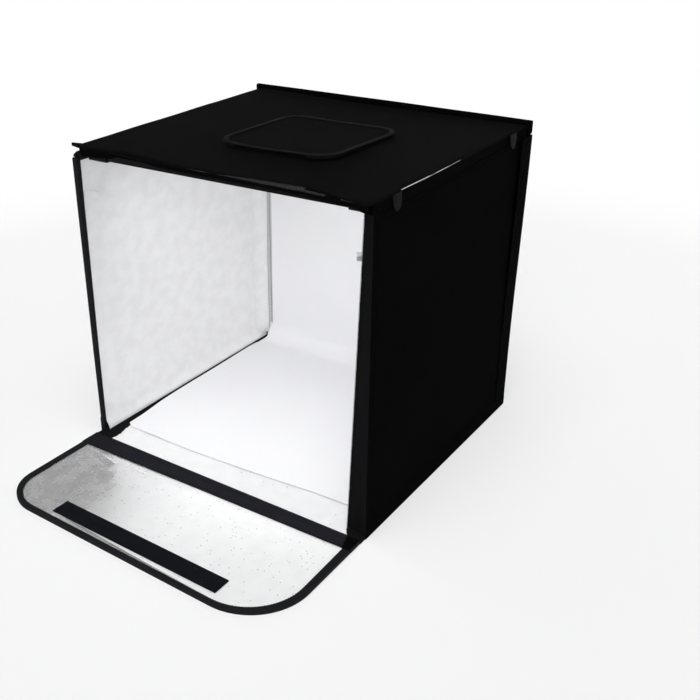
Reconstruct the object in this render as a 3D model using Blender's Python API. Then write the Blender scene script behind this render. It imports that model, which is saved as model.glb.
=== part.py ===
"""Folding light tent: a soft-sided photo box of stiffened cloth panels.

The tent stands on the floor plane with its open front towards -Y. The origin is the centre of
its footprint. Each panel is a sandwich of outer cloth, a stiffening board and a silver lining,
held at its edges by a folded binding tape. The panels turn on strips of hinge cloth whose
heights are staggered, so that the walls lie flat on each other when the tent is folded.
All sizes are in metres.
"""

from collections import namedtuple
from math import cos, pi, sin

import bmesh
import bpy

# Standing tent
tent_width = 0.400
tent_depth = 0.360
wall_top = 0.3662

# Layers of a panel
tape = 0.0008
cloth = 0.0007
board = 0.0018
seat_gap = 0.0003
panel_corner = 0.004
panel_corner_steps = 3
tape_edge = 0.0003
least_radius = 0.0005

# Visible widths of the binding tape
binding_face = 0.0085
binding_narrow_face = 0.004
binding_hinge_face = 0.0016

# Folding
hinge_cloth = 0.0008
hinge_cloth_rise = 0.0006
fold_gap = 0.0004
closing_room = 0.0024
sheet_room = 0.0015

# Front lip of the floor, and the flap that closes the folded package
floor_lip = 0.010
flap_reach = 0.150
flap_corner = 0.060
flap_corner_steps = 12
closing_tape_length = 0.242
closing_tape_width = 0.0225
closing_tape_thickness = 0.0012
closing_tape_from_hinge = 0.119

# Soft corner flaps that join the side walls to the back
corner_flap_side = 0.020
corner_flap_back = 0.015
corner_flap_thickness = 0.0008
corner_flap_foot = 0.030
corner_flap_head = 0.006

# White cloth tabs inside the side walls
wall_tab_width = 0.017
wall_tab_height = 0.013
wall_tab_thickness = 0.0006
wall_tab_from_front = 0.0095
wall_tab_from_top = 0.045

# White backdrop sheet
sheet_side_room = 0.0044
sheet_thickness = 0.0007
sheet_from_front = 0.030
sheet_sweep_radius = 0.026
sheet_sweep_steps = 8
sheet_from_top = 0.016
sheet_hook_inset = 0.016
sheet_hook_width = 0.022
sheet_hook_thickness = 0.0008
sheet_hook_from_top = 0.020

# Lid
lid_lip = 0.009
lid_rail_end = 0.004
rear_bar_depth = 0.0075
rear_bar_overhang = 0.001
rear_bar_rise = 0.0048
rear_bar_rounding = 0.0018

# Camera port in the lid, and its cover
port_offset_x = 0.020
port_offset_y = -0.020
port_cover_width = 0.156
port_cover_depth = 0.156
port_cover_corner = 0.029
port_corner_steps = 8
port_cover_lap = 0.016
port_cover_backing = 0.0010
port_binding_face = 0.007
port_rim_face = 0.006
port_hook_face = 0.0085

# Light bar under the front of the lid
light_bar_depth = 0.018
light_bar_wall = 0.0010
light_bar_setback = 0.002
light_cap_left_length = 0.027
light_cap_left_margin = 0.0216
light_cap_right_length = 0.0187
light_cap_right_margin = 0.0029
light_cap_margin = 0.001
light_cap_drop = 0.002
light_cap_chamfer = 0.0012
light_board_thickness = 0.0012
light_chip_size = 0.005
light_strip_thickness = 0.0004
light_chip_thickness = 0.0007
light_chip_count = 20
light_throw = 0.0012
diffuser_thickness = 0.0010
inlet_radius = 0.0032
inlet_bore_radius = 0.0018
inlet_length = 0.0085
inlet_bore_depth = 0.0065
inlet_sides = 20

# Fastening tabs that hang from the lid's sides
lid_tab_width = 0.017
lid_tab_straight = 0.006
lid_tab_drop = 0.0137
lid_tab_thickness = 0.0012
lid_tab_from_top = 0.002
lid_tab_from_front = 0.038
lid_tab_from_rear = 0.055
lid_tab_steps = 10

# Worked out from the sizes above
panel = 2 * tape + 2 * cloth + board + 4 * seat_gap
half_width = tent_width / 2
half_depth = tent_depth / 2
layer = panel + fold_gap
wall_out = half_width - hinge_cloth - seat_gap
wall_in = wall_out - panel
back_out = half_depth - hinge_cloth - seat_gap
back_in = back_out - panel
wall_rear = back_in - sheet_room
right_axis_z = panel + layer
left_axis_z = right_axis_z + layer
back_axis_z = left_axis_z + layer
spine_axis_y = -half_depth - floor_lip
spine_length = 3 * layer + closing_room
flap_axis_y = spine_axis_y - spine_length
sheet_half_width = wall_out - binding_face - sheet_side_room
light_strip_height = light_strip_thickness + light_chip_thickness
light_inside_height = light_board_thickness + light_strip_height + light_throw + diffuser_thickness
light_bar_height = light_bar_wall + light_inside_height + 3 * seat_gap
lid_seat = wall_top + fold_gap
lid_under = lid_seat + light_cap_drop + light_bar_height - tape
lid_top = lid_under + panel
rear_bar_out = half_depth + rear_bar_overhang
rear_bar_in = rear_bar_out - rear_bar_depth
lid_rear = rear_bar_in - seat_gap
port_cover_panel = 2 * tape + cloth + port_cover_backing + 3 * seat_gap
port_cover_under = lid_top + seat_gap
port_cover_top = port_cover_under + port_cover_panel
port_hinge_y = port_offset_y + port_cover_depth / 2 + seat_gap
lid_tab_axis_x = half_width + seat_gap + lid_tab_thickness
lid_tab_axis_z = lid_top - lid_tab_from_top

Plate = namedtuple("Plate", "u0 u1 v0 v1 radii steps")
Faces = namedtuple("Faces", "left right low high")


# Placing: each function takes a point of a flat panel, u and v in its plane and w inwards
# from its outer face, to the tent's own axes.

def place_floor(u, v, w):
    return (u, v, w)


def place_right(u, v, w):
    return (wall_out - w, u, v)


def place_left(u, v, w):
    return (-wall_out + w, u, v)


def place_back(u, v, w):
    return (u, back_out - w, v)


def place_lid(u, v, w):
    return (u, v, lid_top - w)


def place_port_cover(u, v, w):
    return (u, v, port_cover_top - w)


# Outlines

def outline(plate, left, right=None, low=None, high=None):
    """Points of the plate's rounded outline, counterclockwise, drawn in by an inset on each side."""
    right = left if right is None else right
    low = left if low is None else low
    high = left if high is None else high
    u0, u1 = plate.u0 + left, plate.u1 - right
    v0, v1 = plate.v0 + low, plate.v1 - high
    corners = [
        (u0, v0, 1, 1, pi, (left + low) / 2),
        (u1, v0, -1, 1, 1.5 * pi, (right + low) / 2),
        (u1, v1, -1, -1, 0.0, (right + high) / 2),
        (u0, v1, 1, -1, 0.5 * pi, (left + high) / 2),
    ]
    points = []
    for (cu, cv, su, sv, start, inset), radius in zip(corners, plate.radii):
        r = max(radius - inset, least_radius)
        for i in range(plate.steps + 1):
            a = start + 0.5 * pi * i / plate.steps
            points.append((cu + su * r + r * cos(a), cv + sv * r + r * sin(a)))
    return points


def circle(radius, sides):
    return [(radius * cos(2 * pi * i / sides), radius * sin(2 * pi * i / sides)) for i in range(sides)]


# Meshes

def skin(loops, ring=False):
    """A closed mesh through loops with the same number of points: a ring, or a body with end caps."""
    bm = bmesh.new()
    rows = [[bm.verts.new(p) for p in loop] for loop in loops]
    count = len(rows[0])
    pairs = list(zip(rows, rows[1:]))
    if ring:
        pairs.append((rows[-1], rows[0]))
    for a, b in pairs:
        for i in range(count):
            j = (i + 1) % count
            bm.faces.new((a[i], a[j], b[j], b[i]))
    if not ring:
        bm.faces.new(list(reversed(rows[0])))
        bm.faces.new(rows[-1])
    bmesh.ops.recalc_face_normals(bm, faces=bm.faces)
    return bm


def lifted(points, height, place):
    return [place(u, v, height) for u, v in points]


def slab(points, low, high, place):
    """A flat piece between two depths."""
    return skin([lifted(points, low, place), lifted(points, high, place)])


def pierced_slab(outer, inner, low, high, place):
    """A flat piece with a hole through it."""
    loops = [lifted(outer, low, place), lifted(inner, low, place)]
    loops += [lifted(inner, high, place), lifted(outer, high, place)]
    return skin(loops, ring=True)


def folded_tape(plate, faces, low, high, place):
    """Tape folded round the plate's edge: a web outside it and a face on each side of it."""
    window = outline(plate, faces.left, faces.right, faces.low, faces.high)
    inside = outline(plate, tape)
    eased = outline(plate, tape_edge)
    edge = outline(plate, 0)
    section = [
        (eased, low),
        (window, low),
        (window, low + tape),
        (inside, low + tape),
        (inside, high - tape),
        (window, high - tape),
        (window, high),
        (eased, high),
        (edge, high - tape_edge),
        (edge, low + tape_edge),
    ]
    return skin([lifted(points, w, place) for points, w in section], ring=True)


def rim_tape(plate, face, low, high, place):
    """Tape folded round the edge of a hole: the web lines the hole, the faces lie outside it."""
    edge = outline(plate, 0)
    inside = outline(plate, -tape)
    window = outline(plate, -face)
    section = [
        (edge, low),
        (edge, high),
        (window, high),
        (window, high - tape),
        (inside, high - tape),
        (inside, low + tape),
        (window, low + tape),
        (window, low),
    ]
    return skin([lifted(points, w, place) for points, w in section], ring=True)


def box(x0, x1, y0, y1, z0, z1):
    corners = [(x0, y0), (x1, y0), (x1, y1), (x0, y1)]
    return skin([[(x, y, z) for x, y in corners] for z in (z0, z1)])


def along_x(profile, x0, x1):
    """A profile of y and z points, extruded along X."""
    return skin([[(x, y, z) for y, z in profile] for x in (x0, x1)])


# Objects

def material(name, colour, roughness, metallic=0.0):
    made = bpy.data.materials.get(name)
    if made is None:
        made = bpy.data.materials.new(name)
        made.use_nodes = True
        shader = made.node_tree.nodes["Principled BSDF"]
        shader.inputs["Base Color"].default_value = (*colour, 1.0)
        shader.inputs["Roughness"].default_value = roughness
        shader.inputs["Metallic"].default_value = metallic
        made.diffuse_color = (*colour, 1.0)
    return made


def black_cloth():
    return material("black_cloth", (0.012, 0.012, 0.013), 0.72)


def black_tape():
    return material("black_tape", (0.022, 0.022, 0.026), 0.62)


def hook_tape():
    return material("hook_tape", (0.018, 0.018, 0.024), 0.85)


def silver_lining():
    return material("silver_lining", (0.72, 0.73, 0.75), 0.34, 0.55)


def stiff_board():
    return material("stiff_board", (0.30, 0.29, 0.27), 0.8)


def white_sheet():
    return material("white_sheet", (0.88, 0.88, 0.90), 0.5)


def white_cloth():
    return material("white_cloth", (0.85, 0.85, 0.84), 0.7)


def black_plastic():
    return material("black_plastic", (0.014, 0.013, 0.016), 0.28)


def light_plate():
    return material("light_plate", (0.82, 0.82, 0.80), 0.5)


def light_chips_yellow():
    return material("light_chips", (0.86, 0.78, 0.36), 0.4)


def diffuser_plastic():
    return material("diffuser_plastic", (0.90, 0.91, 0.92), 0.35)


def inlet_metal():
    return material("inlet_metal", (0.55, 0.55, 0.56), 0.3, 0.9)


def pivot(name, location, parent=None):
    """An empty on a joint's axis that carries the pieces of one moving body."""
    empty = bpy.data.objects.new(name, None)
    empty.empty_display_size = panel
    bpy.context.scene.collection.objects.link(empty)
    empty.parent = parent
    base = parent.matrix_world.translation if parent else (0, 0, 0)
    empty.location = [a - b for a, b in zip(location, base)]
    bpy.context.view_layer.update()
    return empty


def piece(name, bm, finish, carrier, smooth_angle=None):
    """An object from a mesh in tent axes, carried by a pivot."""
    origin = carrier.matrix_world.translation
    for vertex in bm.verts:
        vertex.co -= origin
    mesh = bpy.data.meshes.new(name)
    bm.to_mesh(mesh)
    bm.free()
    if smooth_angle is not None:
        mesh.shade_smooth()
        mesh.set_sharp_from_angle(angle=smooth_angle)
    mesh.materials.append(finish)
    made = bpy.data.objects.new(name, mesh)
    bpy.context.scene.collection.objects.link(made)
    made.parent = carrier
    return made


def wall_sandwich(prefix, plate, faces, place, carrier):
    """Cloth, board and lining of a wall, inside the binding that wraps all three."""
    core = outline(plate, tape + seat_gap)
    depth = tape + seat_gap
    piece(prefix + "_cover", slab(core, depth, depth + cloth, place), black_cloth(), carrier)
    depth += cloth + seat_gap
    piece(prefix + "_board", slab(core, depth, depth + board, place), stiff_board(), carrier)
    depth += board + seat_gap
    piece(prefix + "_lining", slab(core, depth, depth + cloth, place), silver_lining(), carrier)
    binding = folded_tape(plate, faces, 0, panel, place)
    piece(prefix + "_binding", binding, black_tape(), carrier)


def ground_sandwich(prefix, plate, faces, carrier):
    """A panel that lies on the floor: its outer cloth is underneath, outside the binding."""
    core = outline(plate, tape + seat_gap)
    piece(prefix + "_cover", slab(outline(plate, 0), 0, cloth, place_floor), black_cloth(), carrier)
    low = cloth + seat_gap
    depth = low + tape + seat_gap
    piece(prefix + "_board", slab(core, depth, depth + board, place_floor), stiff_board(), carrier)
    depth += board + seat_gap
    piece(prefix + "_lining", slab(core, depth, depth + cloth, place_floor), silver_lining(), carrier)
    binding = folded_tape(plate, faces, low, panel, place_floor)
    piece(prefix + "_binding", binding, black_tape(), carrier)


def lining_face():
    """Height of the lining's surface above a ground panel's underside."""
    return panel - tape - seat_gap


# The tent's sub-assemblies

def build_floor(base):
    plate = Plate(-wall_out, wall_out, spine_axis_y, back_out, (panel_corner,) * 4, panel_corner_steps)
    faces = Faces(binding_face, binding_face, binding_hinge_face, binding_narrow_face)
    ground_sandwich("bottom", plate, faces, base)

    strip_in = half_width - hinge_cloth
    rear_in = half_depth - hinge_cloth
    piece(
        "right_hinge_cloth",
        box(strip_in, half_width, -half_depth, back_out, hinge_cloth_rise, right_axis_z),
        black_cloth(),
        base,
    )
    piece(
        "left_hinge_cloth",
        box(-half_width, -strip_in, -half_depth, back_out, hinge_cloth_rise, left_axis_z),
        black_cloth(),
        base,
    )
    piece(
        "back_hinge_cloth",
        box(-wall_out, wall_out, rear_in, half_depth, hinge_cloth_rise, back_axis_z),
        black_cloth(),
        base,
    )


def build_backdrop(base):
    """The sheet lies on the floor lining, sweeps up in a small curve and hangs down the back."""
    low = lining_face() + seat_gap
    front = -half_depth + sheet_from_front
    rear = back_in - seat_gap
    top = wall_top - sheet_from_top
    centre_y = rear - sheet_sweep_radius
    centre_z = low + sheet_sweep_radius
    under = [(front, low)]
    over = [(front, low + sheet_thickness)]
    for i in range(sheet_sweep_steps + 1):
        a = -0.5 * pi + 0.5 * pi * i / sheet_sweep_steps
        inner = sheet_sweep_radius - sheet_thickness
        under.append((centre_y + sheet_sweep_radius * cos(a), centre_z + sheet_sweep_radius * sin(a)))
        over.append((centre_y + inner * cos(a), centre_z + inner * sin(a)))
    under.append((rear, top))
    over.append((rear - sheet_thickness, top))
    profile = under + list(reversed(over))
    sheet = along_x(profile, -sheet_half_width, sheet_half_width)
    piece("backdrop_sheet", sheet, white_sheet(), base)


def build_side_wall(side, sign, place, axis_z, base):
    carrier = pivot(side + "_wall_axis", (sign * wall_out, 0, axis_z), base)
    radii = (panel_corner,) * 4
    foot = axis_z + seat_gap
    plate = Plate(-half_depth, wall_rear, foot, wall_top, radii, panel_corner_steps)
    faces = Faces(binding_face, binding_narrow_face, binding_narrow_face, binding_face)
    wall_sandwich(side + "_wall", plate, faces, place, carrier)

    tab_y = -half_depth + wall_tab_from_front
    tab_z = wall_top - wall_tab_from_top
    surface = panel - tape
    tab = [
        (tab_y, tab_z - wall_tab_height),
        (tab_y + wall_tab_width, tab_z - wall_tab_height),
        (tab_y + wall_tab_width, tab_z),
        (tab_y, tab_z),
    ]
    piece(
        side + "_wall_tab",
        slab(tab, surface, surface + wall_tab_thickness, place),
        white_cloth(),
        carrier,
    )

    outer = wall_out + seat_gap
    behind = half_depth + seat_gap
    far = behind + corner_flap_thickness
    section = [
        (outer, wall_rear - corner_flap_side),
        (outer + corner_flap_thickness, wall_rear - corner_flap_side),
        (outer + corner_flap_thickness, far),
        (outer - corner_flap_back, far),
        (outer - corner_flap_back, behind),
        (outer, behind),
    ]
    heights = (axis_z + corner_flap_foot, wall_top - corner_flap_head)
    flap = skin([[(sign * x, y, z) for x, y in section] for z in heights])
    piece(side + "_corner_flap", flap, black_cloth(), carrier)


def build_back(base):
    carrier = pivot("back_wall_axis", (0, back_out, back_axis_z), base)
    side = wall_in - seat_gap
    foot = back_axis_z + seat_gap
    plate = Plate(-side, side, foot, wall_top, (panel_corner,) * 4, panel_corner_steps)
    faces = Faces(*(binding_narrow_face,) * 4)
    wall_sandwich("back_wall", plate, faces, place_back, carrier)

    # The closing tape meets this strip when the flap lies over the folded back
    reach = back_out - (spine_axis_y + closing_tape_from_hinge)
    strip_z = back_axis_z + reach
    surface = back_out - tape
    piece(
        "closing_loop_tape",
        box(
            -closing_tape_length / 2,
            closing_tape_length / 2,
            surface,
            surface + closing_tape_thickness,
            strip_z - closing_tape_width / 2,
            strip_z + closing_tape_width / 2,
        ),
        hook_tape(),
        carrier,
    )

    hook_half = sheet_half_width - sheet_hook_inset
    hook_top = wall_top - sheet_hook_from_top
    hook_face = back_in + tape
    piece(
        "backdrop_hook_tape",
        box(
            -hook_half,
            hook_half,
            hook_face - sheet_hook_thickness,
            hook_face,
            hook_top - sheet_hook_width,
            hook_top,
        ),
        hook_tape(),
        carrier,
    )


def build_spine_and_flap(base):
    spine = pivot("spine_axis", (0, spine_axis_y, panel), base)
    rear = spine_axis_y - seat_gap
    front = flap_axis_y + seat_gap
    low = cloth + seat_gap + tape
    piece("spine_cover", box(-wall_out, wall_out, front, rear, cloth, low), black_cloth(), spine)
    inset = tape + seat_gap
    board_low = low + seat_gap
    piece(
        "spine_board",
        box(-wall_out + inset, wall_out - inset, front + inset, rear - inset, board_low, board_low + board),
        stiff_board(),
        spine,
    )
    band_low = board_low + board + seat_gap
    piece("spine_band", box(-wall_out, wall_out, front, rear, band_low, panel), black_tape(), spine)

    flap = pivot("flap_axis", (0, flap_axis_y, panel), spine)
    far = flap_axis_y - seat_gap - flap_reach
    radii = (flap_corner, flap_corner, panel_corner, panel_corner)
    plate = Plate(-wall_out, wall_out, far, flap_axis_y - seat_gap, radii, flap_corner_steps)
    faces = Faces(binding_face, binding_face, binding_face, binding_hinge_face)
    ground_sandwich("flap", plate, faces, flap)

    tape_y = flap_axis_y - closing_tape_from_hinge
    tape_low = lining_face() + seat_gap
    piece(
        "closing_hook_tape",
        box(
            -closing_tape_length / 2,
            closing_tape_length / 2,
            tape_y - closing_tape_width / 2,
            tape_y + closing_tape_width / 2,
            tape_low,
            tape_low + closing_tape_thickness,
        ),
        hook_tape(),
        flap,
    )


def port_plate(lap):
    """The port's rounded outline, smaller than the cover by a lap on each side."""
    half_u = port_cover_width / 2 - lap
    half_v = port_cover_depth / 2 - lap
    radii = (max(port_cover_corner - lap / 2, least_radius),) * 4
    return Plate(
        port_offset_x - half_u,
        port_offset_x + half_u,
        port_offset_y - half_v,
        port_offset_y + half_v,
        radii,
        port_corner_steps,
    )


def build_lid(base):
    lid = pivot("lid_axis", (0, 0, lid_seat), base)
    front = -half_depth - lid_lip
    plate = Plate(-half_width, half_width, front, lid_rear, (panel_corner,) * 4, port_corner_steps)
    hole = port_plate(port_cover_lap)
    core = outline(plate, tape + seat_gap)
    opening = outline(hole, -tape - seat_gap)
    depth = tape + seat_gap
    layers = [
        ("lid_cover", cloth, black_cloth()),
        ("lid_board", board, stiff_board()),
        ("lid_lining", cloth, silver_lining()),
    ]
    for name, thickness, finish in layers:
        mesh = pierced_slab(core, opening, depth, depth + thickness, place_lid)
        piece(name, mesh, finish, lid)
        depth += thickness + seat_gap
    faces = Faces(*(binding_face,) * 4)
    piece("lid_binding", folded_tape(plate, faces, 0, panel, place_lid), black_tape(), lid)
    piece("port_rim_binding", rim_tape(hole, port_rim_face, 0, panel, place_lid), black_tape(), lid)
    hook_inner = outline(hole, -port_rim_face - seat_gap)
    hook_outer = outline(hole, -port_rim_face - seat_gap - port_hook_face)
    hook_ring = pierced_slab(hook_outer, hook_inner, 0, tape, place_lid)
    piece("port_hook_tape", hook_ring, hook_tape(), lid)

    rail_top = lid_under - seat_gap
    rail_front = -half_depth + lid_rail_end
    for name, sign in (("lid_rail_right", 1), ("lid_rail_left", -1)):
        x0, x1 = sorted((sign * wall_in, sign * wall_out))
        rail = box(x0, x1, rail_front, lid_rear - lid_rail_end, lid_seat, rail_top)
        piece(name, rail, black_tape(), lid)

    top = lid_top + rear_bar_rise
    r = rear_bar_rounding
    profile = [
        (rear_bar_in, lid_seat),
        (rear_bar_out, lid_seat),
        (rear_bar_out, top - r),
        (rear_bar_out - r, top),
        (rear_bar_in + r, top),
        (rear_bar_in, top - r),
    ]
    bar = along_x(profile, -half_width - rear_bar_overhang, half_width + rear_bar_overhang)
    piece("lid_rear_bar", bar, black_tape(), lid)
    return lid


def build_port_cover(lid):
    cover = pivot("port_cover_axis", (port_offset_x, port_hinge_y, port_cover_top), lid)
    plate = port_plate(0)
    core = outline(plate, tape + seat_gap)
    depth = tape + seat_gap
    fabric = slab(core, depth, depth + cloth, place_port_cover)
    piece("port_cover_cloth", fabric, black_cloth(), cover)
    depth += cloth + seat_gap
    backing = slab(core, depth, depth + port_cover_backing, place_port_cover)
    piece("port_cover_backing", backing, stiff_board(), cover)
    faces = Faces(*(port_binding_face,) * 4)
    binding = folded_tape(plate, faces, 0, port_cover_panel, place_port_cover)
    piece("port_cover_binding", binding, black_tape(), cover)


def build_lid_tabs(lid):
    """Four leaf-shaped cloth tabs that hang over the side walls and grip them."""
    outline_points = [(lid_tab_width / 2, 0)]
    for i in range(lid_tab_steps + 1):
        a = pi * i / lid_tab_steps
        outline_points.append(
            (lid_tab_width / 2 * cos(a), -lid_tab_straight - lid_tab_drop * sin(a))
        )
    outline_points.append((-lid_tab_width / 2, 0))
    places = [("front", lid_tab_from_front - half_depth), ("rear", half_depth - lid_tab_from_rear)]
    for side, sign in (("right", 1), ("left", -1)):
        for end, y in places:
            axis = (sign * lid_tab_axis_x, y, lid_tab_axis_z)
            carrier = pivot("lid_tab_" + side + "_" + end + "_axis", axis, lid)
            inner = half_width + seat_gap
            head = lid_tab_axis_z - seat_gap
            loops = [
                [(sign * x, y + v, head + w) for v, w in outline_points]
                for x in (inner, lid_tab_axis_x)
            ]
            piece("lid_tab_" + side + "_" + end, skin(loops), black_tape(), carrier)


def build_light_bar(lid):
    top = lid_under + tape
    low = top - light_bar_height
    front = -half_depth + light_bar_setback
    rear = front + light_bar_depth
    left_end = -wall_in + light_cap_left_margin + light_cap_left_length
    right_end = wall_in - light_cap_right_margin - light_cap_right_length
    x0 = left_end + seat_gap
    x1 = right_end - seat_gap
    wall = light_bar_wall
    channel = [
        (front, low),
        (front + wall, low),
        (front + wall, top - wall),
        (rear - wall, top - wall),
        (rear - wall, low),
        (rear, low),
        (rear, top),
        (front, top),
    ]
    piece("light_housing", along_x(channel, x0, x1), black_plastic(), lid)

    inside_front = front + wall + seat_gap
    inside_rear = rear - wall - seat_gap
    plate_top = top - wall - seat_gap
    plate_low = plate_top - light_board_thickness
    piece(
        "light_board",
        box(x0 + wall, x1 - wall, inside_front, inside_rear, plate_low, plate_top),
        light_plate(),
        lid,
    )
    strip_top = plate_low - seat_gap
    strip_low = strip_top - light_strip_thickness
    chip_low = strip_low - light_chip_thickness
    pitch = (x1 - x0 - 2 * wall) / light_chip_count
    comb = [(x0 + wall, strip_low), (x0 + wall, strip_top), (x1 - wall, strip_top), (x1 - wall, strip_low)]
    for i in reversed(range(light_chip_count)):
        x = x0 + wall + pitch * (i + 0.5)
        for edge, z in ((1, strip_low), (1, chip_low), (-1, chip_low), (-1, strip_low)):
            comb.append((x + edge * light_chip_size / 2, z))
    middle = (front + rear) / 2
    ends = (middle - light_chip_size / 2, middle + light_chip_size / 2)
    strip = skin([[(x, y, z) for x, z in comb] for y in ends])
    piece("light_strip", strip, light_chips_yellow(), lid)
    piece(
        "light_diffuser",
        box(
            x0 + wall,
            x1 - wall,
            inside_front,
            inside_rear,
            low + seat_gap,
            low + seat_gap + diffuser_thickness,
        ),
        diffuser_plastic(),
        lid,
    )

    cap_front = front - light_cap_margin
    cap_rear = rear + light_cap_margin
    c = light_cap_chamfer
    cap = [
        (cap_front + c, lid_seat),
        (cap_rear - c, lid_seat),
        (cap_rear, lid_seat + c),
        (cap_rear, top),
        (cap_front, top),
        (cap_front, lid_seat + c),
    ]
    left = along_x(cap, left_end - light_cap_left_length, left_end)
    right = along_x(cap, right_end, right_end + light_cap_right_length)
    piece("light_cap_left", left, black_plastic(), lid)
    piece("light_cap_right", right, black_plastic(), lid)

    centre_x = left_end - light_cap_left_length / 2
    centre_z = (lid_seat + top) / 2
    start = cap_rear + seat_gap
    end = start + inlet_length
    turned = [
        (inlet_radius, start),
        (inlet_radius, end),
        (inlet_bore_radius, end),
        (inlet_bore_radius, end - inlet_bore_depth),
    ]
    loops = [
        [(centre_x + x, y, centre_z + z) for x, z in circle(radius, inlet_sides)] for radius, y in turned
    ]
    piece("light_power_inlet", skin(loops), inlet_metal(), lid, smooth_angle=pi / 6)


def main():
    for old in list(bpy.data.objects):
        bpy.data.objects.remove(old, do_unlink=True)
    base = pivot("tent", (0, 0, 0))
    build_floor(base)
    build_backdrop(base)
    build_side_wall("right", 1, place_right, right_axis_z, base)
    build_side_wall("left", -1, place_left, left_axis_z, base)
    build_back(base)
    build_spine_and_flap(base)
    lid = build_lid(base)
    build_port_cover(lid)
    build_lid_tabs(lid)
    build_light_bar(lid)


main()
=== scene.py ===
from math import cos, pi, radians, sin

import bmesh
import bpy
import numpy as np
from mathutils import Matrix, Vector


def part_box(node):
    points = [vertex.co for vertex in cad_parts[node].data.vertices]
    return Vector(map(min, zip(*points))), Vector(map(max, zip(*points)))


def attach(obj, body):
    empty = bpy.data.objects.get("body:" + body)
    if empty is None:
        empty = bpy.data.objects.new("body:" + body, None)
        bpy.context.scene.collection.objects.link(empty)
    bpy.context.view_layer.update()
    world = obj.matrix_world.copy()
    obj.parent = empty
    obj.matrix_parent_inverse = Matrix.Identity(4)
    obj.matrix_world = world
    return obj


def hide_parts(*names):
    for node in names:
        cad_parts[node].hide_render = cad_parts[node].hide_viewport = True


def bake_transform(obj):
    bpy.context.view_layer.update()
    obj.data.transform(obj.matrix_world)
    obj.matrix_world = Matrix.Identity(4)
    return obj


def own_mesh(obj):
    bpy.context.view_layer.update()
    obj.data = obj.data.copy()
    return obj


bl_info = {
    "name": "Folding light tent",
    "version": (1, 0, 0),
    "blender": (4, 5, 0),
    "location": "3D View > Sidebar > Light tent",
    "description": "Cloth, tape, foil and plastic finishes for a folding light tent",
    "category": "Object",
}

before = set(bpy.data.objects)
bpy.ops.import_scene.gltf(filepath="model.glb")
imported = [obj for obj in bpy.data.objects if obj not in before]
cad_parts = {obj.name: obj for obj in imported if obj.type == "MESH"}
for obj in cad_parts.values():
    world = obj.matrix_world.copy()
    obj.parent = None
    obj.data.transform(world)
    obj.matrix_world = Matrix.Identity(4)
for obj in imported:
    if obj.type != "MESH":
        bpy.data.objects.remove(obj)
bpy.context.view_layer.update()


def low(node):
    return np.array(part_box(node)[0])


def high(node):
    return np.array(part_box(node)[1])


# Planes and edges that the frame gives, in metres
wall_out = high("right_wall_binding")[0]
wall_in = low("right_wall_binding")[0]
wall_top = high("right_wall_binding")[2]
wall_front = low("right_wall_binding")[1]
wall_rear = high("right_wall_binding")[1]
back_out = high("back_wall_binding")[1]
back_in = low("back_wall_binding")[1]
back_side = high("back_wall_binding")[0]
hinge_out = high("right_hinge_cloth")[0]
hinge_rear = high("back_hinge_cloth")[1]
hinge_low = low("right_hinge_cloth")[2]
fold_height = {
    "right_wall": high("right_hinge_cloth")[2],
    "left_wall": high("left_hinge_cloth")[2],
    "back_wall": high("back_hinge_cloth")[2],
}
panel = high("bottom_binding")[2]
floor_front = low("bottom_binding")[1]
flap_rear = high("flap_binding")[1]
flap_front = low("flap_binding")[1]
lid_low = low("lid_binding")[2]
lid_top = high("lid_binding")[2]
lid_rear = high("lid_binding")[1]
cover_top = high("port_cover_binding")[2]
cover_low = low("port_cover_binding")[2]

# Cloth and tape
cloth = 0.0006
tape = 0.0005
recess = 0.0003
crown = 0.0003
fold_round = 0.0009
lining_depth = 0.0052
least_radius = 0.0006
rest_gap = 0.0004
plate_round = 0.002
leaf_thickness = 0.0010
arc_steps = 8
flap_arc_steps = 26
stitch_across = 0.0012
thread = 0.00034
tape_shares = (1.0, 0.88, 0.62, 0.36, 0.14, 0.04)
tape_heights = (0.1, 0.55, 0.95, 1.0, 0.7, 0.2)


# Points and waviness

def stack(x, y, z):
    return np.stack(np.broadcast_arrays(x, y, z), axis=-1).astype(float)


def unit(vectors):
    length = np.linalg.norm(vectors, axis=-1, keepdims=True)
    return vectors / np.maximum(length, 1e-12)


def smooth(value, start, end):
    """0 before start, 1 past end, and a soft step between them."""
    t = np.clip((np.asarray(value, float) - start) / (end - start), 0, 1)
    return t * t * (3 - 2 * t)


def read_off(value, pairs):
    """The measure at a place, on straight lines through pairs of a place and a measure."""
    return np.interp(value, *np.array(pairs).T)


def ripple(a, b, scale, seed, waves=6):
    """Soft uneven waviness of about -1 to 1 over a surface."""
    draw = np.random.default_rng(seed)
    total = 0
    for _ in range(waves):
        turn = draw.uniform(0, 2 * pi)
        rate = 2 * pi * draw.uniform(0.6, 1.5) / scale
        total = total + np.sin((a * cos(turn) + b * sin(turn)) * rate + draw.uniform(0, 2 * pi))
    return total / waves ** 0.5 / 1.4


def crease(a, b, start, end, width):
    """1 along a line, falling off to its sides and tapering to its ends."""
    start, end = np.array(start), np.array(end)
    run = end - start
    reach = np.linalg.norm(run)
    run = run / reach
    along = (a - start[0]) * run[0] + (b - start[1]) * run[1]
    across = (a - start[0]) * run[1] - (b - start[1]) * run[0]
    ends = smooth(along, 0, reach * 0.25) * (1 - smooth(along, reach * 0.75, reach))
    return ends * np.exp(-((across / width) ** 2))


# Places: u and v lie in a panel's plane, w goes inwards from its outer face

def place_right(u, v, w):
    return stack(wall_out - w, u, v)


def place_left(u, v, w):
    return stack(w - wall_out + left_lean(v), u, v)


def left_lean(v):
    """The left wall leans in a little towards its top."""
    return np.interp(v, (0.0, 0.12, 0.22, 0.30, 0.366), (-0.0022, -0.0017, -0.0006, 0.0002, 0.0011))


def place_back(u, v, w):
    return stack(u, back_out - w, v)


def place_ground(u, v, w):
    return stack(u, v, w)


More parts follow.
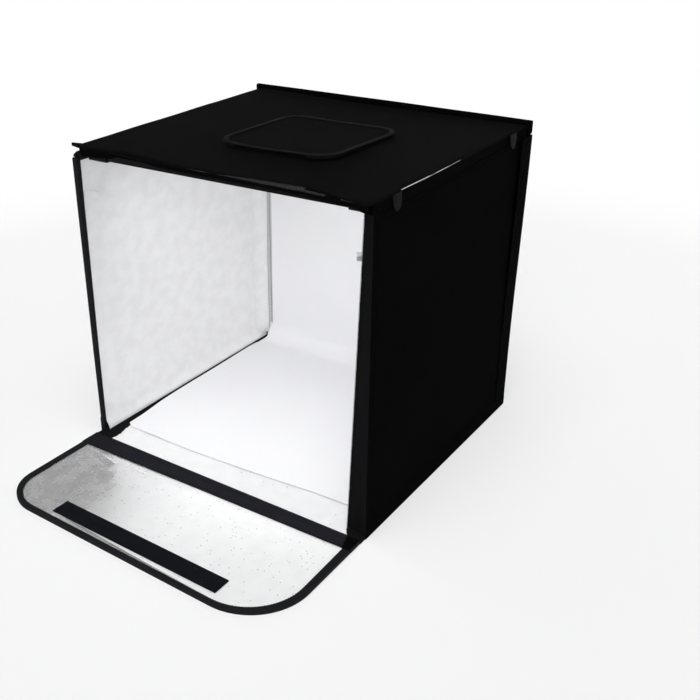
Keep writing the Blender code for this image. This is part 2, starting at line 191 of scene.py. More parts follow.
def place_lid(u, v, w):
    return stack(u, v, lid_top - w)


def place_cover(u, v, w):
    return stack(u, v, cover_top - w + cover_lift(u, v))


# Meshes

def new_piece(name, points, faces, finish, uvs=None, sharp=50):
    mesh = bpy.data.meshes.new(name)
    mesh.from_pydata(np.asarray(points).reshape(-1, 3).tolist(), [], faces)
    bm = bmesh.new()
    bm.from_mesh(mesh)
    bmesh.ops.recalc_face_normals(bm, faces=bm.faces)
    bm.to_mesh(mesh)
    bm.free()
    if uvs is not None:
        layer = mesh.uv_layers.new(name="cloth")
        corner = np.empty(len(mesh.loops), dtype=int)
        mesh.loops.foreach_get("vertex_index", corner)
        layer.data.foreach_set("uv", np.asarray(uvs).reshape(-1, 2)[corner].astype(np.float32).ravel())
    mesh.shade_smooth()
    mesh.set_sharp_from_angle(angle=radians(sharp))
    mesh.materials.append(finish)
    return into_scene(name, mesh)


def into_scene(name, data):
    made = bpy.data.objects.new(name, data)
    bpy.context.scene.collection.objects.link(made)
    return made


def cloth_lengths(grid):
    """Distance along the rows and the columns of a grid of points, for its weave."""
    across = np.linalg.norm(np.diff(grid, axis=1), axis=-1)
    along = np.linalg.norm(np.diff(grid, axis=0), axis=-1)
    u = np.concatenate([np.zeros((len(grid), 1)), np.cumsum(across, axis=1)], axis=1)
    v = np.concatenate([np.zeros((1, grid.shape[1])), np.cumsum(along, axis=0)], axis=0)
    u = u - u[:, -1:] / 2
    return np.stack([u, v], axis=-1)


def face_normals(grid, wrap):
    if wrap:
        du = np.roll(grid, -1, axis=1) - np.roll(grid, 1, axis=1)
    else:
        du = np.gradient(grid, axis=1)
    dv = np.gradient(grid, axis=0)
    return unit(np.cross(du, dv))


def slab(name, grid, thickness, finish, wrap=False, side=1, uvs=None, sharp=50):
    """Cloth of one thickness behind a grid of points. wrap joins each row to a ring."""
    rows, columns = grid.shape[:2]
    behind = grid - face_normals(grid, wrap) * thickness * side
    if uvs is None:
        uvs = cloth_lengths(grid)
    points = np.concatenate([grid.reshape(-1, 3), behind.reshape(-1, 3)])
    count = rows * columns
    last = columns if wrap else columns - 1
    faces = []
    for r in range(rows - 1):
        for c in range(last):
            a, b = r * columns + c, r * columns + (c + 1) % columns
            d, e = a + columns, b + columns
            faces.append((a, b, e, d))
            faces.append((count + a, count + d, count + e, count + b))
    for c in range(last):
        a, b = c, (c + 1) % columns
        faces.append((a, count + a, count + b, b))
        a, b = a + (rows - 1) * columns, b + (rows - 1) * columns
        faces.append((b, count + b, count + a, a))
    if not wrap:
        for r in range(rows - 1):
            a, d = r * columns, (r + 1) * columns
            faces.append((d, count + d, count + a, a))
            a, d = a + columns - 1, d + columns - 1
            faces.append((a, count + a, count + d, d))
    return new_piece(name, points, faces, finish, np.concatenate([uvs.reshape(-1, 2)] * 2), sharp)


def loft(name, rings, finish, closed=False, uvs=None, sharp=50):
    """A body through closed loops of points. closed joins the last loop to the first."""
    rings = np.asarray(rings)
    count, size = rings.shape[:2]
    faces = []
    for r in range(count if closed else count - 1):
        after = (r + 1) % count
        for c in range(size):
            d = (c + 1) % size
            faces.append((r * size + c, r * size + d, after * size + d, after * size + c))
    if not closed:
        faces.append(tuple(reversed(range(size))))
        faces.append(tuple(range((count - 1) * size, count * size)))
    if uvs is None:
        uvs = cloth_lengths(rings)
    return new_piece(name, rings, faces, finish, uvs, sharp)


def boxed(count, across, tall):
    """Half width and half height, as shares, round a section that is squarer the lower the powers."""
    turn = np.linspace(0, 2 * pi, count + 1)[:-1]
    sides = np.sign(np.cos(turn)) * np.abs(np.cos(turn)) ** across
    return sides, np.sign(np.sin(turn)) * np.abs(np.sin(turn)) ** tall


def even(inset):
    return ((inset, inset),) * 4


def scaled(insets, share):
    return tuple((u * share, v * share) for u, v in insets)


def outline(rect, radii, insets, steps, arcs=arc_steps, is_open=False):
    """Points of a rounded rectangle drawn in at each corner. They start at its low right corner when
    it is open, which leaves its low side out, and at its low left corner when it is closed."""
    u0, u1, v0, v1 = rect
    ends = [(u0, v0, 1, 1, pi), (u1, v0, -1, 1, 1.5 * pi), (u1, v1, -1, -1, 0.0), (u0, v1, 1, -1, 0.5 * pi)]
    arc = []
    for (u, v, su, sv, start), radius, (du, dv) in zip(ends, radii, insets):
        r = max(radius - (du + dv) / 2, least_radius)
        turn = start + np.linspace(0, pi / 2, arcs + 1)
        middle = (u + su * (du + r), v + sv * (dv + r))
        arc.append(np.stack([middle[0] + r * np.cos(turn), middle[1] + r * np.sin(turn)], axis=-1))
    order = (1, 2, 3, 0) if is_open else (0, 1, 2, 3)
    run = []
    for corner in order:
        run.append(arc[corner])
        if is_open and corner == 0:
            break
        a, b = arc[corner][-1], arc[(corner + 1) % 4][0]
        share = np.arange(1, steps)[:, None] / steps
        run.append(a + (b - a) * share)
    return np.concatenate(run)


def folded_tape(name, rect, radii, inner, outer, depth, place, finish, steps=40, arcs=arc_steps,
                is_open=False, outward=1):
    """Binding folded over a panel's edge: a crowned face on both sides, a round fold between."""
    start, end = depth
    section = []
    for share, height in zip(tape_shares, tape_heights):
        section.append((scaled(inner, share), end + crown * height))
    section.append((even(0), end - fold_round))
    section.append((even(0), start + fold_round))
    for share, height in reversed(list(zip(tape_shares, tape_heights))):
        section.append((scaled(outer, share), start - crown * height))
    section.append((outer, start + tape))
    section.append((even(tape * 2 * outward), start + tape))
    section.append((even(tape * 2 * outward), end - tape))
    section.append((inner, end - tape))
    loops = []
    for insets, w in section:
        points = outline(rect, radii, insets, steps, arcs, is_open)
        loops.append(place(points[:, 0], points[:, 1], w))
    rings = np.stack(loops, axis=1)
    across = np.cumsum(np.linalg.norm(np.diff(rings, axis=1, prepend=rings[:, :1]), axis=-1), axis=1)
    along = np.cumsum(np.linalg.norm(np.diff(rings[:, 7], axis=0, prepend=rings[:1, 7]), axis=-1))
    uvs = np.stack([across, np.broadcast_to(along[:, None], across.shape)], axis=-1)
    return loft(name, rings, finish, closed=not is_open, uvs=uvs, sharp=60)


def edge_stitches(name, rect, radii, insets, w, place, finish, steps=40, arcs=arc_steps, is_open=False,
                  lift=1, reach=1.0):
    """Zigzag thread along the inner edge of a binding, half on the tape and half past it."""
    edge = outline(rect, radii, insets, steps, arcs, is_open)
    past = outline(rect, radii, scaled(insets, 1.15), steps, arcs, is_open)
    on = place(edge[:, 0], edge[:, 1], w)
    across = unit(place(past[:, 0], past[:, 1], w) - on)
    normal = unit(place(edge[:, 0], edge[:, 1], w + lift * cloth) - on)
    return zigzag(name, on, across, normal, finish, not is_open, reach)


def zigzag(name, on, across, normal, finish, closed, reach=1.0):
    size = bpy.context.scene.light_tent_sizes
    if closed:
        on, across, normal = (np.concatenate([a, a[:1]]) for a in (on, across, normal))
    length = np.concatenate([[0], np.cumsum(np.linalg.norm(np.diff(on, axis=0), axis=1))])
    half_turns = max(int(length[-1] / size.stitch_pitch * 2) // 2 * 2, 4)
    at = np.linspace(0, length[-1], half_turns + 1)
    if closed:
        at = at[:-1]
    on, across, normal = (
        np.stack([np.interp(at, length, a[:, k]) for k in range(3)], axis=-1) for a in (on, across, normal)
    )
    across, normal = unit(across), unit(normal)
    swing = np.where(np.arange(len(at)) % 2, stitch_across * 0.75 * reach, -stitch_across)
    height = np.where(np.arange(len(at)) % 2, -crown, crown * 1.6)
    centre = on + across * swing[:, None] + normal * height[:, None]
    turn = np.linspace(0, 2 * pi, 6)[:-1]
    rings = centre[:, None] + thread * (
        across[:, None] * np.cos(turn)[:, None] + normal[:, None] * np.sin(turn)[:, None]
    )
    return loft(name, rings, finish, closed=closed, sharp=80)


def plate(name, rect, radii, depth, place, finish, loops=10, steps=16, arcs=arc_steps, edge=0.00025):
    """A flat piece with eased edges, closed over its middle by smaller and smaller outlines."""
    start, end = depth
    widest = min(rect[1] - rect[0], rect[3] - rect[2]) / 2
    insets = np.linspace(widest * 0.96, edge * 2, loops)
    profile = [(i, start) for i in insets]
    profile += [(edge * 0.3, start + edge * 0.3), (0, start + edge)]
    profile += [(0, end - edge), (edge * 0.3, end - edge * 0.3)]
    profile += [(i, end) for i in reversed(insets)]
    rings, uvs = [], []
    for inset, w in profile:
        points = outline(rect, radii, even(inset), steps, arcs)
        rings.append(place(points[:, 0], points[:, 1], w))
        uvs.append(points)
    return loft(name, rings, finish, uvs=np.stack(uvs), sharp=60)


# Riding

def put(made, body, slot, *nodes):
    """The piece moves with a body and stands for nodes of the frame. The slot is not used."""
    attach(made, body)
    return finish_with(made, slot, *nodes)


def finish_with(made, slot, *nodes):
    if nodes:
        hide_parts(*nodes)
    return made


def press_flat(made, wall, anchor, keep, slot, *nodes):
    """A soft piece turns with a wall."""
    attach(made, wall)
    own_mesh(made)
    return finish_with(made, slot, *nodes)


def hinge(made, wall, slot, *nodes):
    """Cloth that stands on the floor panel, its place baked into its mesh. The wall is not used."""
    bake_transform(made)
    return finish_with(made, slot, *nodes)


# Shared surface effects

def socket(group, name, kind, is_input, default=None):
    made = group.interface.new_socket(
        name=name, in_out="INPUT" if is_input else "OUTPUT", socket_type="NodeSocket" + kind
    )
    if default is not None:
        made.default_value = default
    return made


def math(tree, operation, a, b=0.0):
    node = tree.nodes.new("ShaderNodeMath")
    node.operation = operation
    for index, value in enumerate((a, b)):
        if isinstance(value, (int, float)):
            node.inputs[index].default_value = value
        else:
            tree.links.new(value, node.inputs[index])
    return node.outputs[0]


def new_group(name, inputs, outputs):
    group = bpy.data.node_groups.new(name, "ShaderNodeTree")
    socket(group, "Vector", "Vector", True)
    for label, default in inputs:
        socket(group, label, "Float", True, default)
    for label in outputs:
        socket(group, label, "Float", False)
    return group, group.nodes.new("NodeGroupInput"), group.nodes.new("NodeGroupOutput")


def scaled_vector(tree, vector, scale):
    node = tree.nodes.new("ShaderNodeVectorMath")
    node.operation = "SCALE"
    tree.links.new(vector, node.inputs[0])
    tree.links.new(scale, node.inputs["Scale"])
    return node.outputs[0]


def noise(tree, vector, scale=None, detail=2.0):
    node = tree.nodes.new("ShaderNodeTexNoise")
    node.inputs["Detail"].default_value = detail
    node.inputs["Scale"].default_value = 1.0
    tree.links.new(vector, node.inputs["Vector"])
    if scale is not None:
        node.inputs["Scale"].default_value = scale
    return node.outputs["Fac"]


def ramp(tree, value, start, end):
    node = tree.nodes.new("ShaderNodeMapRange")
    node.interpolation_type = "SMOOTHSTEP"
    tree.links.new(value, node.inputs["Value"])
    node.inputs["From Min"].default_value = start
    node.inputs["From Max"].default_value = end
    return node.outputs["Result"]


def parts(tree, vector):
    node = tree.nodes.new("ShaderNodeSeparateXYZ")
    tree.links.new(vector, node.inputs[0])
    return node.outputs


def voronoi(tree, vector, scale=1.0):
    node = tree.nodes.new("ShaderNodeTexVoronoi")
    node.inputs["Scale"].default_value = scale
    tree.links.new(vector, node.inputs["Vector"])
    return node


def specks(tree, vector, scale, size, share):
    """A round speck in some of the cells."""
    cells = voronoi(tree, vector, scale)
    near = math(tree, "LESS_THAN", cells.outputs["Distance"], size)
    colour = tree.nodes.new("ShaderNodeSeparateColor")
    tree.links.new(cells.outputs["Color"], colour.inputs[0])
    return math(tree, "MULTIPLY", near, math(tree, "LESS_THAN", colour.outputs[0], share))


def weave_group():
    """Threads over and under each other, with uneven yarn."""
    group, start, end = new_group("Weave", [("Threads per metre", 1400.0)], ["Height", "Shade"])
    turns = math(group, "MULTIPLY", start.outputs["Threads per metre"], 2 * pi)
    grown = scaled_vector(group, start.outputs["Vector"], turns)
    across, along, _ = parts(group, grown)
    over = math(group, "SINE", across)
    under = math(group, "SINE", along)
    spun = scaled_vector(group, start.outputs["Vector"], start.outputs["Threads per metre"])
    yarn = noise(group, spun, 0.35)
    crossed = math(group, "MULTIPLY", over, under)
    height = math(group, "ADD", math(group, "MULTIPLY", crossed, 0.35), yarn)
    group.links.new(height, end.inputs["Height"])
    group.links.new(ramp(group, yarn, 0.3, 0.7), end.inputs["Shade"])
    return group


def lint_group():
    """Sparse specks of lint and dust, and soft patches where hands have rubbed the cloth."""
    group, start, end = new_group(
        "Lint", [("Specks per metre", 260.0), ("Share", 0.06)], ["Specks", "Patches"]
    )
    grown = scaled_vector(group, start.outputs["Vector"], start.outputs["Specks per metre"])
    dots = specks(group, grown, 1.0, 0.16, start.outputs["Share"])
    group.links.new(dots, end.inputs["Specks"])
    wide = noise(group, start.outputs["Vector"], 9.0, 3.0)
    group.links.new(ramp(group, wide, 0.35, 0.7), end.inputs["Patches"])
    return group


def pebble_group():
    """Pebbled foil: small uneven cells, finer grain between them, dark pinholes and wide crinkles."""
    group, start, end = new_group(
        "Pebble", [("Cells per metre", 430.0), ("Pinholes", 0.05)], ["Height", "Holes", "Tone"]
    )
    grown = scaled_vector(group, start.outputs["Vector"], start.outputs["Cells per metre"])
    cells = voronoi(group, grown)
    cells.feature = "SMOOTH_F1"
    cells.inputs["Smoothness"].default_value = 0.35
    grain = noise(group, grown, 1.7, 2.0)
    wide = noise(group, start.outputs["Vector"], 55.0, 2.0)
    rounded = math(group, "MULTIPLY", cells.outputs["Distance"], 0.8)
    height = math(group, "ADD", math(group, "MULTIPLY", grain, 0.55), rounded)
    height = math(group, "ADD", height, math(group, "MULTIPLY", wide, 0.8))
    group.links.new(height, end.inputs["Height"])
    pits = specks(group, grown, 0.55, 0.17, start.outputs["Pinholes"])
    group.links.new(pits, end.inputs["Holes"])
    group.links.new(ramp(group, wide, 0.3, 0.7), end.inputs["Tone"])
    return group


def nap_group():
    """The short upright loops and hooks of fastening tape."""
    group, start, end = new_group("Nap", [("Tufts per metre", 900.0)], ["Height", "Tips"])
    grown = scaled_vector(group, start.outputs["Vector"], start.outputs["Tufts per metre"])
    height = math(group, "SUBTRACT", 1.0, voronoi(group, grown).outputs["Distance"])
    group.links.new(height, end.inputs["Height"])
    group.links.new(ramp(group, height, 0.7, 0.95), end.inputs["Tips"])
    return group


def ribs_group():
    """Fine ribs across a woven tape."""
    group, start, end = new_group("Ribs", [("Ribs per metre", 700.0)], ["Height"])
    along = parts(group, start.outputs["Vector"])[1]
    turns = math(group, "MULTIPLY", start.outputs["Ribs per metre"], 2 * pi)
    wave = math(group, "SINE", math(group, "MULTIPLY", along, turns))
    group.links.new(math(group, "ADD", math(group, "MULTIPLY", wave, 0.5), 0.5), end.inputs["Height"])
    return group


def grain_group():
    """Fine moulded grain for plastic and board, with faint scuffs."""
    group, start, end = new_group("Grain", [("Grains per metre", 1800.0)], ["Height", "Scuffs"])
    grown = scaled_vector(group, start.outputs["Vector"], start.outputs["Grains per metre"])
    group.links.new(noise(group, grown, 1.0, 3.0), end.inputs["Height"])
    wide = noise(group, start.outputs["Vector"], 38.0, 4.0)
    group.links.new(ramp(group, wide, 0.45, 0.75), end.inputs["Scuffs"])
    return group


effects = {
    "Weave": weave_group,
    "Lint": lint_group,
    "Pebble": pebble_group,
    "Nap": nap_group,
    "Ribs": ribs_group,
    "Grain": grain_group,
}


# Finishes

# Span along x and added roughness where the flap foil turns less metallic, which lightens its right half:
# painted light
dulled_painted_light_between = (-0.13, 0.03)
dulled_painted_light_roughness = 0.22


def new_finish(name, roughness, metallic=0.0, specular=0.5, on_frame=False):
    made = bpy.data.materials.new(name)
    made.use_nodes = True
    tree = made.node_tree
    shader = tree.nodes["Principled BSDF"]
    shader.inputs["Roughness"].default_value = roughness
    shader.inputs["Metallic"].default_value = metallic
    shader.inputs["Specular IOR Level"].default_value = specular
    if on_frame:
        where = tree.nodes.new("ShaderNodeTexCoord").outputs["Object"]
    else:
        lengths = tree.nodes.new("ShaderNodeUVMap")
        lengths.uv_map = "cloth"
        where = lengths.outputs["UV"]
    return made, tree, shader, where


def effect(tree, name, where, **values):
    """A shared effect by name, made the first time that it is asked for."""
    node = tree.nodes.new("ShaderNodeGroup")
    node.node_tree = bpy.data.node_groups.get(name) or effects[name]()
    tree.links.new(where, node.inputs["Vector"])
    for name, value in values.items():
        node.inputs[name.replace("_", " ")].default_value = value
    return node.outputs


def mixed(tree, factor, a, b):
    """A colour between a and b. Each is a colour, or the output of another mix."""
    node = tree.nodes.new("ShaderNodeMix")
    node.data_type = "RGBA"
    tree.links.new(factor, node.inputs[0])
    for index, colour in ((6, a), (7, b)):
        if isinstance(colour, bpy.types.NodeSocket):
            tree.links.new(colour, node.inputs[index])
        else:
            node.inputs[index].default_value = (*colour, 1.0)
    return node.outputs[2]


def between(tree, factor, a, b):
    """A value between a and b."""
    return math(tree, "ADD", math(tree, "MULTIPLY", factor, b - a), a)


def bump(tree, shader, height, depth, strength=1.0):
    node = tree.nodes.new("ShaderNodeBump")
    node.inputs["Distance"].default_value = depth
    node.inputs["Strength"].default_value = strength
    tree.links.new(height, node.inputs["Height"])
    tree.links.new(node.outputs["Normal"], shader.inputs["Normal"])


def surface(tree, shader, tone, rough, height, depth, strength=1.0):
    """Colour, roughness and relief of a finish."""
    tree.links.new(tone, shader.inputs["Base Color"])
    tree.links.new(rough, shader.inputs["Roughness"])
    bump(tree, shader, height, depth, strength)


def times(colour, share):
    return tuple(min(part * share, 1.0) for part in colour[:3])


def woven_finish(name, colour, roughness=0.85, specular=0.12, threads=1400.0, depth=0.00012, lint=0.05):
    """Black cloth or webbing: woven, a little uneven, with specks of lint."""
    made, tree, shader, where = new_finish(name, roughness, specular=specular)
    weave = effect(tree, "Weave", where, Threads_per_metre=threads)
    dust = effect(tree, "Lint", where, Share=lint)
    tone = mixed(tree, weave["Shade"], times(colour, 0.82), times(colour, 1.2))
    tone = mixed(tree, dust["Patches"], tone, times(colour, 1.12))
    tone = mixed(tree, dust["Specks"], tone, times(colour, 3.2))
    rough = between(tree, weave["Shade"], roughness - 0.06, roughness + 0.06)
    surface(tree, shader, tone, rough, weave["Height"], depth)
    return made


def foil_finish(name, colour, metallic, roughness, cells, depth, holes=0.05, dulled_for_painted_light=None):
    """Silvered lining with a pebbled face. The last argument is how metallic it still is towards its right,
    where it is also rougher and flatter: this lightens the right half, as painted light.
    """
    made, tree, shader, where = new_finish(name, roughness, metallic=metallic)
    pebble = effect(tree, "Pebble", where, Cells_per_metre=cells, Pinholes=holes)
    tone = mixed(tree, pebble["Tone"], times(colour, 0.97), times(colour, 1.03))
    tone = mixed(tree, pebble["Holes"], tone, times(colour, 0.32))
    rough = between(tree, pebble["Tone"], roughness - 0.04, roughness + 0.06)
    height = pebble["Height"]
    # Towards the right the foil turns less metallic, rougher and flatter, so it renders brighter: painted
    # light
    if dulled_for_painted_light is not None:
        place = tree.nodes.new("ShaderNodeTexCoord").outputs["Object"]
        across = ramp(tree, parts(tree, place)[0], *dulled_painted_light_between)
        tree.links.new(between(tree, across, metallic, dulled_for_painted_light), shader.inputs["Metallic"])
        height = math(tree, "MULTIPLY", height, between(tree, across, 1.0, 0.1))
        rough = math(tree, "ADD", rough, between(tree, across, 0.0, dulled_painted_light_roughness))
    surface(tree, shader, tone, rough, height, depth)
    return made


def nap_finish(name, colour):
    made, tree, shader, where = new_finish(name, 0.9, specular=0.05)
    nap = effect(tree, "Nap", where)
    dust = effect(tree, "Lint", where, Share=0.04)
    # Darker at the foot of the tufts and lighter at their tips: painted shade and painted highlight
    tone = mixed(tree, nap["Tips"], times(colour, 0.75), times(colour, 1.35))
    tone = mixed(tree, dust["Specks"], tone, times(colour, 4.0))
    rough = between(tree, nap["Tips"], 0.95, 0.8)
    surface(tree, shader, tone, rough, nap["Height"], 0.0003)
    return made


def ribbed_finish(name, colour, roughness, specular, ribs, depth=0.00015, metallic=0.0, hollow_shade=0.8):
    """Woven tape with ribs across it. Its colour follows the ribs' height, darker in the hollows and
    lighter on the crests: painted shade and painted highlight.
    """
    made, tree, shader, where = new_finish(name, roughness, metallic=metallic, specular=specular)
    rib = effect(tree, "Ribs", where, Ribs_per_metre=ribs)
    dust = effect(tree, "Lint", where)
    # Painted shade in the rib hollows and a painted highlight on the crests
    tone = mixed(tree, rib["Height"], times(colour, hollow_shade), times(colour, 1.18))
    tone = mixed(tree, dust["Patches"], tone, times(colour, 1.08))
    rough = between(tree, rib["Height"], roughness + 0.06, roughness - 0.04)
    surface(tree, shader, tone, rough, rib["Height"], depth)
    return made


def moulded_finish(name, colour, roughness, specular=0.5, metallic=0.0, on_frame=True, depth=0.00005):
    made, tree, shader, where = new_finish(name, roughness, metallic, specular, on_frame=on_frame)
    grain = effect(tree, "Grain", where)
    tone = mixed(tree, grain["Scuffs"], times(colour, 0.95), times(colour, 1.12))
    rough = between(tree, grain["Scuffs"], roughness - 0.03, roughness + 0.09)
    surface(tree, shader, tone, rough, grain["Height"], depth, 0.6)
    return made


def sheet_finish(name, colour):
    """Smooth white backdrop sheet with the faintest print of its knit backing."""
    made, tree, shader, where = new_finish(name, 0.62, specular=0.3)
    weave = effect(tree, "Weave", where, Threads_per_metre=900.0)
    dust = effect(tree, "Lint", where, Share=0.012)
    tone = mixed(tree, dust["Patches"], times(colour, 0.985), colour[:3])
    tone = mixed(tree, dust["Specks"], tone, times(colour, 0.9))
    rough = between(tree, weave["Shade"], 0.58, 0.66)
    surface(tree, shader, tone, rough, weave["Height"], 0.00003)
    return made


makers = {
    "lid cloth": lambda c: woven_finish("lid cloth", c.lid_cloth, 0.85, 0.02),
    # A darker copy of the lid cloth: painted shade
    "wall cloth": lambda c: woven_finish("wall cloth", c.wall_cloth, 0.88, 0.006),
    "binding": lambda c: woven_finish("binding", c.binding, 0.75, 0.05, 1100.0, 0.00016, 0.08),
    "thread": lambda c: woven_finish("thread", c.binding, 0.7, 0.06, 2200.0, 0.00006, 0.0),
    "hinge band": lambda c: woven_finish("hinge band", c.hinge_band, 0.8, 0.08, 1000.0, 0.00018, 0.03),
    "hook tape": lambda c: nap_finish("hook tape", c.hook_tape),
    # The flap's foil turns less metallic towards its right: painted light
    "foil": lambda c: foil_finish("foil", c.foil, 0.74, 0.25, 520.0, 0.00006, 0.20, 0.12),
    # The walls' lining takes the foil colour down to 0.94: painted shade
    "wall foil": lambda c: foil_finish("wall foil", times(c.foil, 0.94), 0.20, 0.40, 430.0, 0.00020, 0.0),
    "floor foil": lambda c: foil_finish("floor foil", c.foil, 0.35, 0.38, 430.0, 0.00016),
    "ribbed foil": lambda c: ribbed_finish("ribbed foil", c.foil, 0.45, 0.4, 620.0, 0.0008, 0.3, 0.5),
    "band tape": lambda c: woven_finish("band tape", c.band_tape, 0.75, 0.08, 1100.0, 0.00016, 0.05),
    "cover tape": lambda c: woven_finish("cover tape", c.cover_tape, 0.66, 0.06, 1100.0, 0.00014, 0.03),
    "leaf cloth": lambda c: woven_finish("leaf cloth", c.leaf_cloth, 0.7, 0.08, 1300.0, 0.00012, 0.03),
    "seam thread": lambda c: woven_finish("seam thread", c.seam_thread, 0.7, 0.1, 2200.0, 0.00006, 0.0),
    # The right white tab in a grey finish: painted shade
    "shaded white tab": lambda c: ribbed_finish("shaded white tab", c.painted_shade_tab, 0.6, 0.3, 900.0, 0.00006),
    # Grey strips on the back wall's lining: painted shade
    "shaded seam tape": lambda c: ribbed_finish("shaded seam tape", c.shaded_seam_tape, 0.6, 0.3, 260.0, 0.0003),
    # Glossier cloth for the hem's crescent, lighter in colour as a painted sheen
    "front hem": lambda c: woven_finish("front hem", c.front_hem, 0.30, 0.9, 1700.0, 0.00004, 0.02),
    "backdrop": lambda c: sheet_finish("backdrop", c.backdrop),
    "white tab": lambda c: ribbed_finish("white tab", c.white_tab, 0.6, 0.3, 900.0, 0.00006),
    "board": lambda c: moulded_finish("board", c.board, 0.8, 0.3),
    "black plastic": lambda c: moulded_finish("black plastic", c.plastic, 0.30, 0.07),
    "light plate": lambda c: moulded_finish("light plate", (0.82, 0.82, 0.80), 0.45),
    "light chips": lambda c: moulded_finish("light chips", (0.86, 0.78, 0.36), 0.35),
    "diffuser": lambda c: moulded_finish("diffuser", (0.88, 0.89, 0.90), 0.3),
    "inlet metal": lambda c: moulded_finish("inlet metal", (0.55, 0.55, 0.56), 0.25, metallic=0.9),
}


def finish(name):
    """A finish by name, made the first time that it is asked for."""
    return bpy.data.materials.get(name) or makers[name](bpy.context.scene.light_tent_colours)


def second_finish(made, name, chosen):
    """The faces that are chosen take another finish."""
    made.data.materials.append(finish(name))
    for face in made.data.polygons:
        face.material_index = int(chosen(face))


# Walls

front_strip_top = 0.0066
front_strip_foot = 0.0034
side_strip = 0.0040
outer_strip = 0.0085
foot_flare = 0.0052
foot_flare_height = 0.026
rear_flare = 0.0094
rear_flare_run = 0.024
wall_radii = (0.0008, 0.0008, 0.0012, 0.0012)
corner_round = 0.0022
corner_lining_thickness = 0.0003
seam_width = 0.0165
tab_curl = 0.0112
# Height above which the right tab stays white: a painted highlight on its top edge
tab_painted_highlight_from = 0.3186


def wall_cloth(name, wall, place, u_range, foot_range, bulge):
    """Outer cloth of a wall in one piece with the strip that hinges it to the floor panel."""
    size = bpy.context.scene.light_tent_sizes
    fold = fold_height[wall]
    near = np.linspace(hinge_low, fold + 0.014, 26)
    v = np.append(near, np.linspace(fold + 0.018, wall_top - tape * 2, 84))[:, None]
    share = np.linspace(0, 1, 100)[None, :]
    spread = smooth(v, fold + 0.001, fold + 0.006)
    u0 = foot_range[0] + (u_range[0] - foot_range[0]) * spread
    u1 = foot_range[1] + (u_range[1] - foot_range[1]) * spread
    u = u0 + (u1 - u0) * share
    out = recess + (-bulge - recess) * (1 - smooth(v, fold + 0.002, fold + 0.012))
    inside = smooth(u, u_range[0], u_range[0] + 0.03) * (1 - smooth(u, u_range[1] - 0.03, u_range[1]))
    inside = inside * smooth(v, fold + 0.012, fold + 0.05) * (1 - smooth(v, wall_top - 0.03, wall_top))
    w = out - size.cloth_waviness * inside * (0.6 + ripple(u, v, 0.16, 11))
    grid = place(u, v, w)
    return slab(name, grid, cloth, finish("wall cloth"), side=-1 if wall == "left_wall" else 1)


def wall_lining(name, wall, place, u_range, pieces_side):
    """Silver lining of a wall. Its foot flares inwards and rests on the floor panel."""
    size = bpy.context.scene.light_tent_sizes
    near = np.linspace(panel + rest_gap, 0.034, 16)
    v = np.append(near, np.linspace(0.038, wall_top - tape * 3, 110))[:, None]
    share = np.linspace(0, 1, 118)[None, :]
    first = u_range[0] + 0.0035 * (1 - smooth(v, 0.01, 0.05))
    u = first + (u_range[1] - first) * share
    flare = foot_flare * (1 - smooth(v, panel, foot_flare_height)) ** 1.5
    inside = smooth(u, u_range[0], u_range[0] + 0.012) * (1 - smooth(u, u_range[1] - 0.012, u_range[1]))
    inside = inside * smooth(v, 0.03, 0.06) * (1 - smooth(v, wall_top - 0.02, wall_top))
    soft = ripple(u, v, 0.11, 21) * 0.6 + ripple(u, v, 0.035, 22) * 0.25
    w = lining_depth + flare + size.lining_waviness * soft * inside
    grid = place(u, v, w)
    return slab(name, grid, cloth, finish("wall foil"), side=pieces_side)


def corner_lining(name, wall, place, pieces_side):
    """The lining's rear edge, which swings inwards to meet the back wall."""
    v = np.linspace(panel + 0.006, wall_top - 0.0035, 90)[:, None]
    share = np.linspace(0, 1, 16)[None, :]
    u = wall_rear + 0.0004 - rear_flare_run * (1 - share)
    reach = rear_flare * (0.92 + 0.08 * ripple(v, v, 0.12, 31))
    low_end = 1 - 0.25 * smooth(v, 0.22, 0.34)
    w = lining_depth + recess + reach * low_end * share ** 2
    made = slab(name, place(u, v, w), cloth, finish("wall foil"), side=pieces_side)
    press_flat(made, wall, wall_in if wall == "right_wall" else -wall_in, 0.1, "silver_lining")


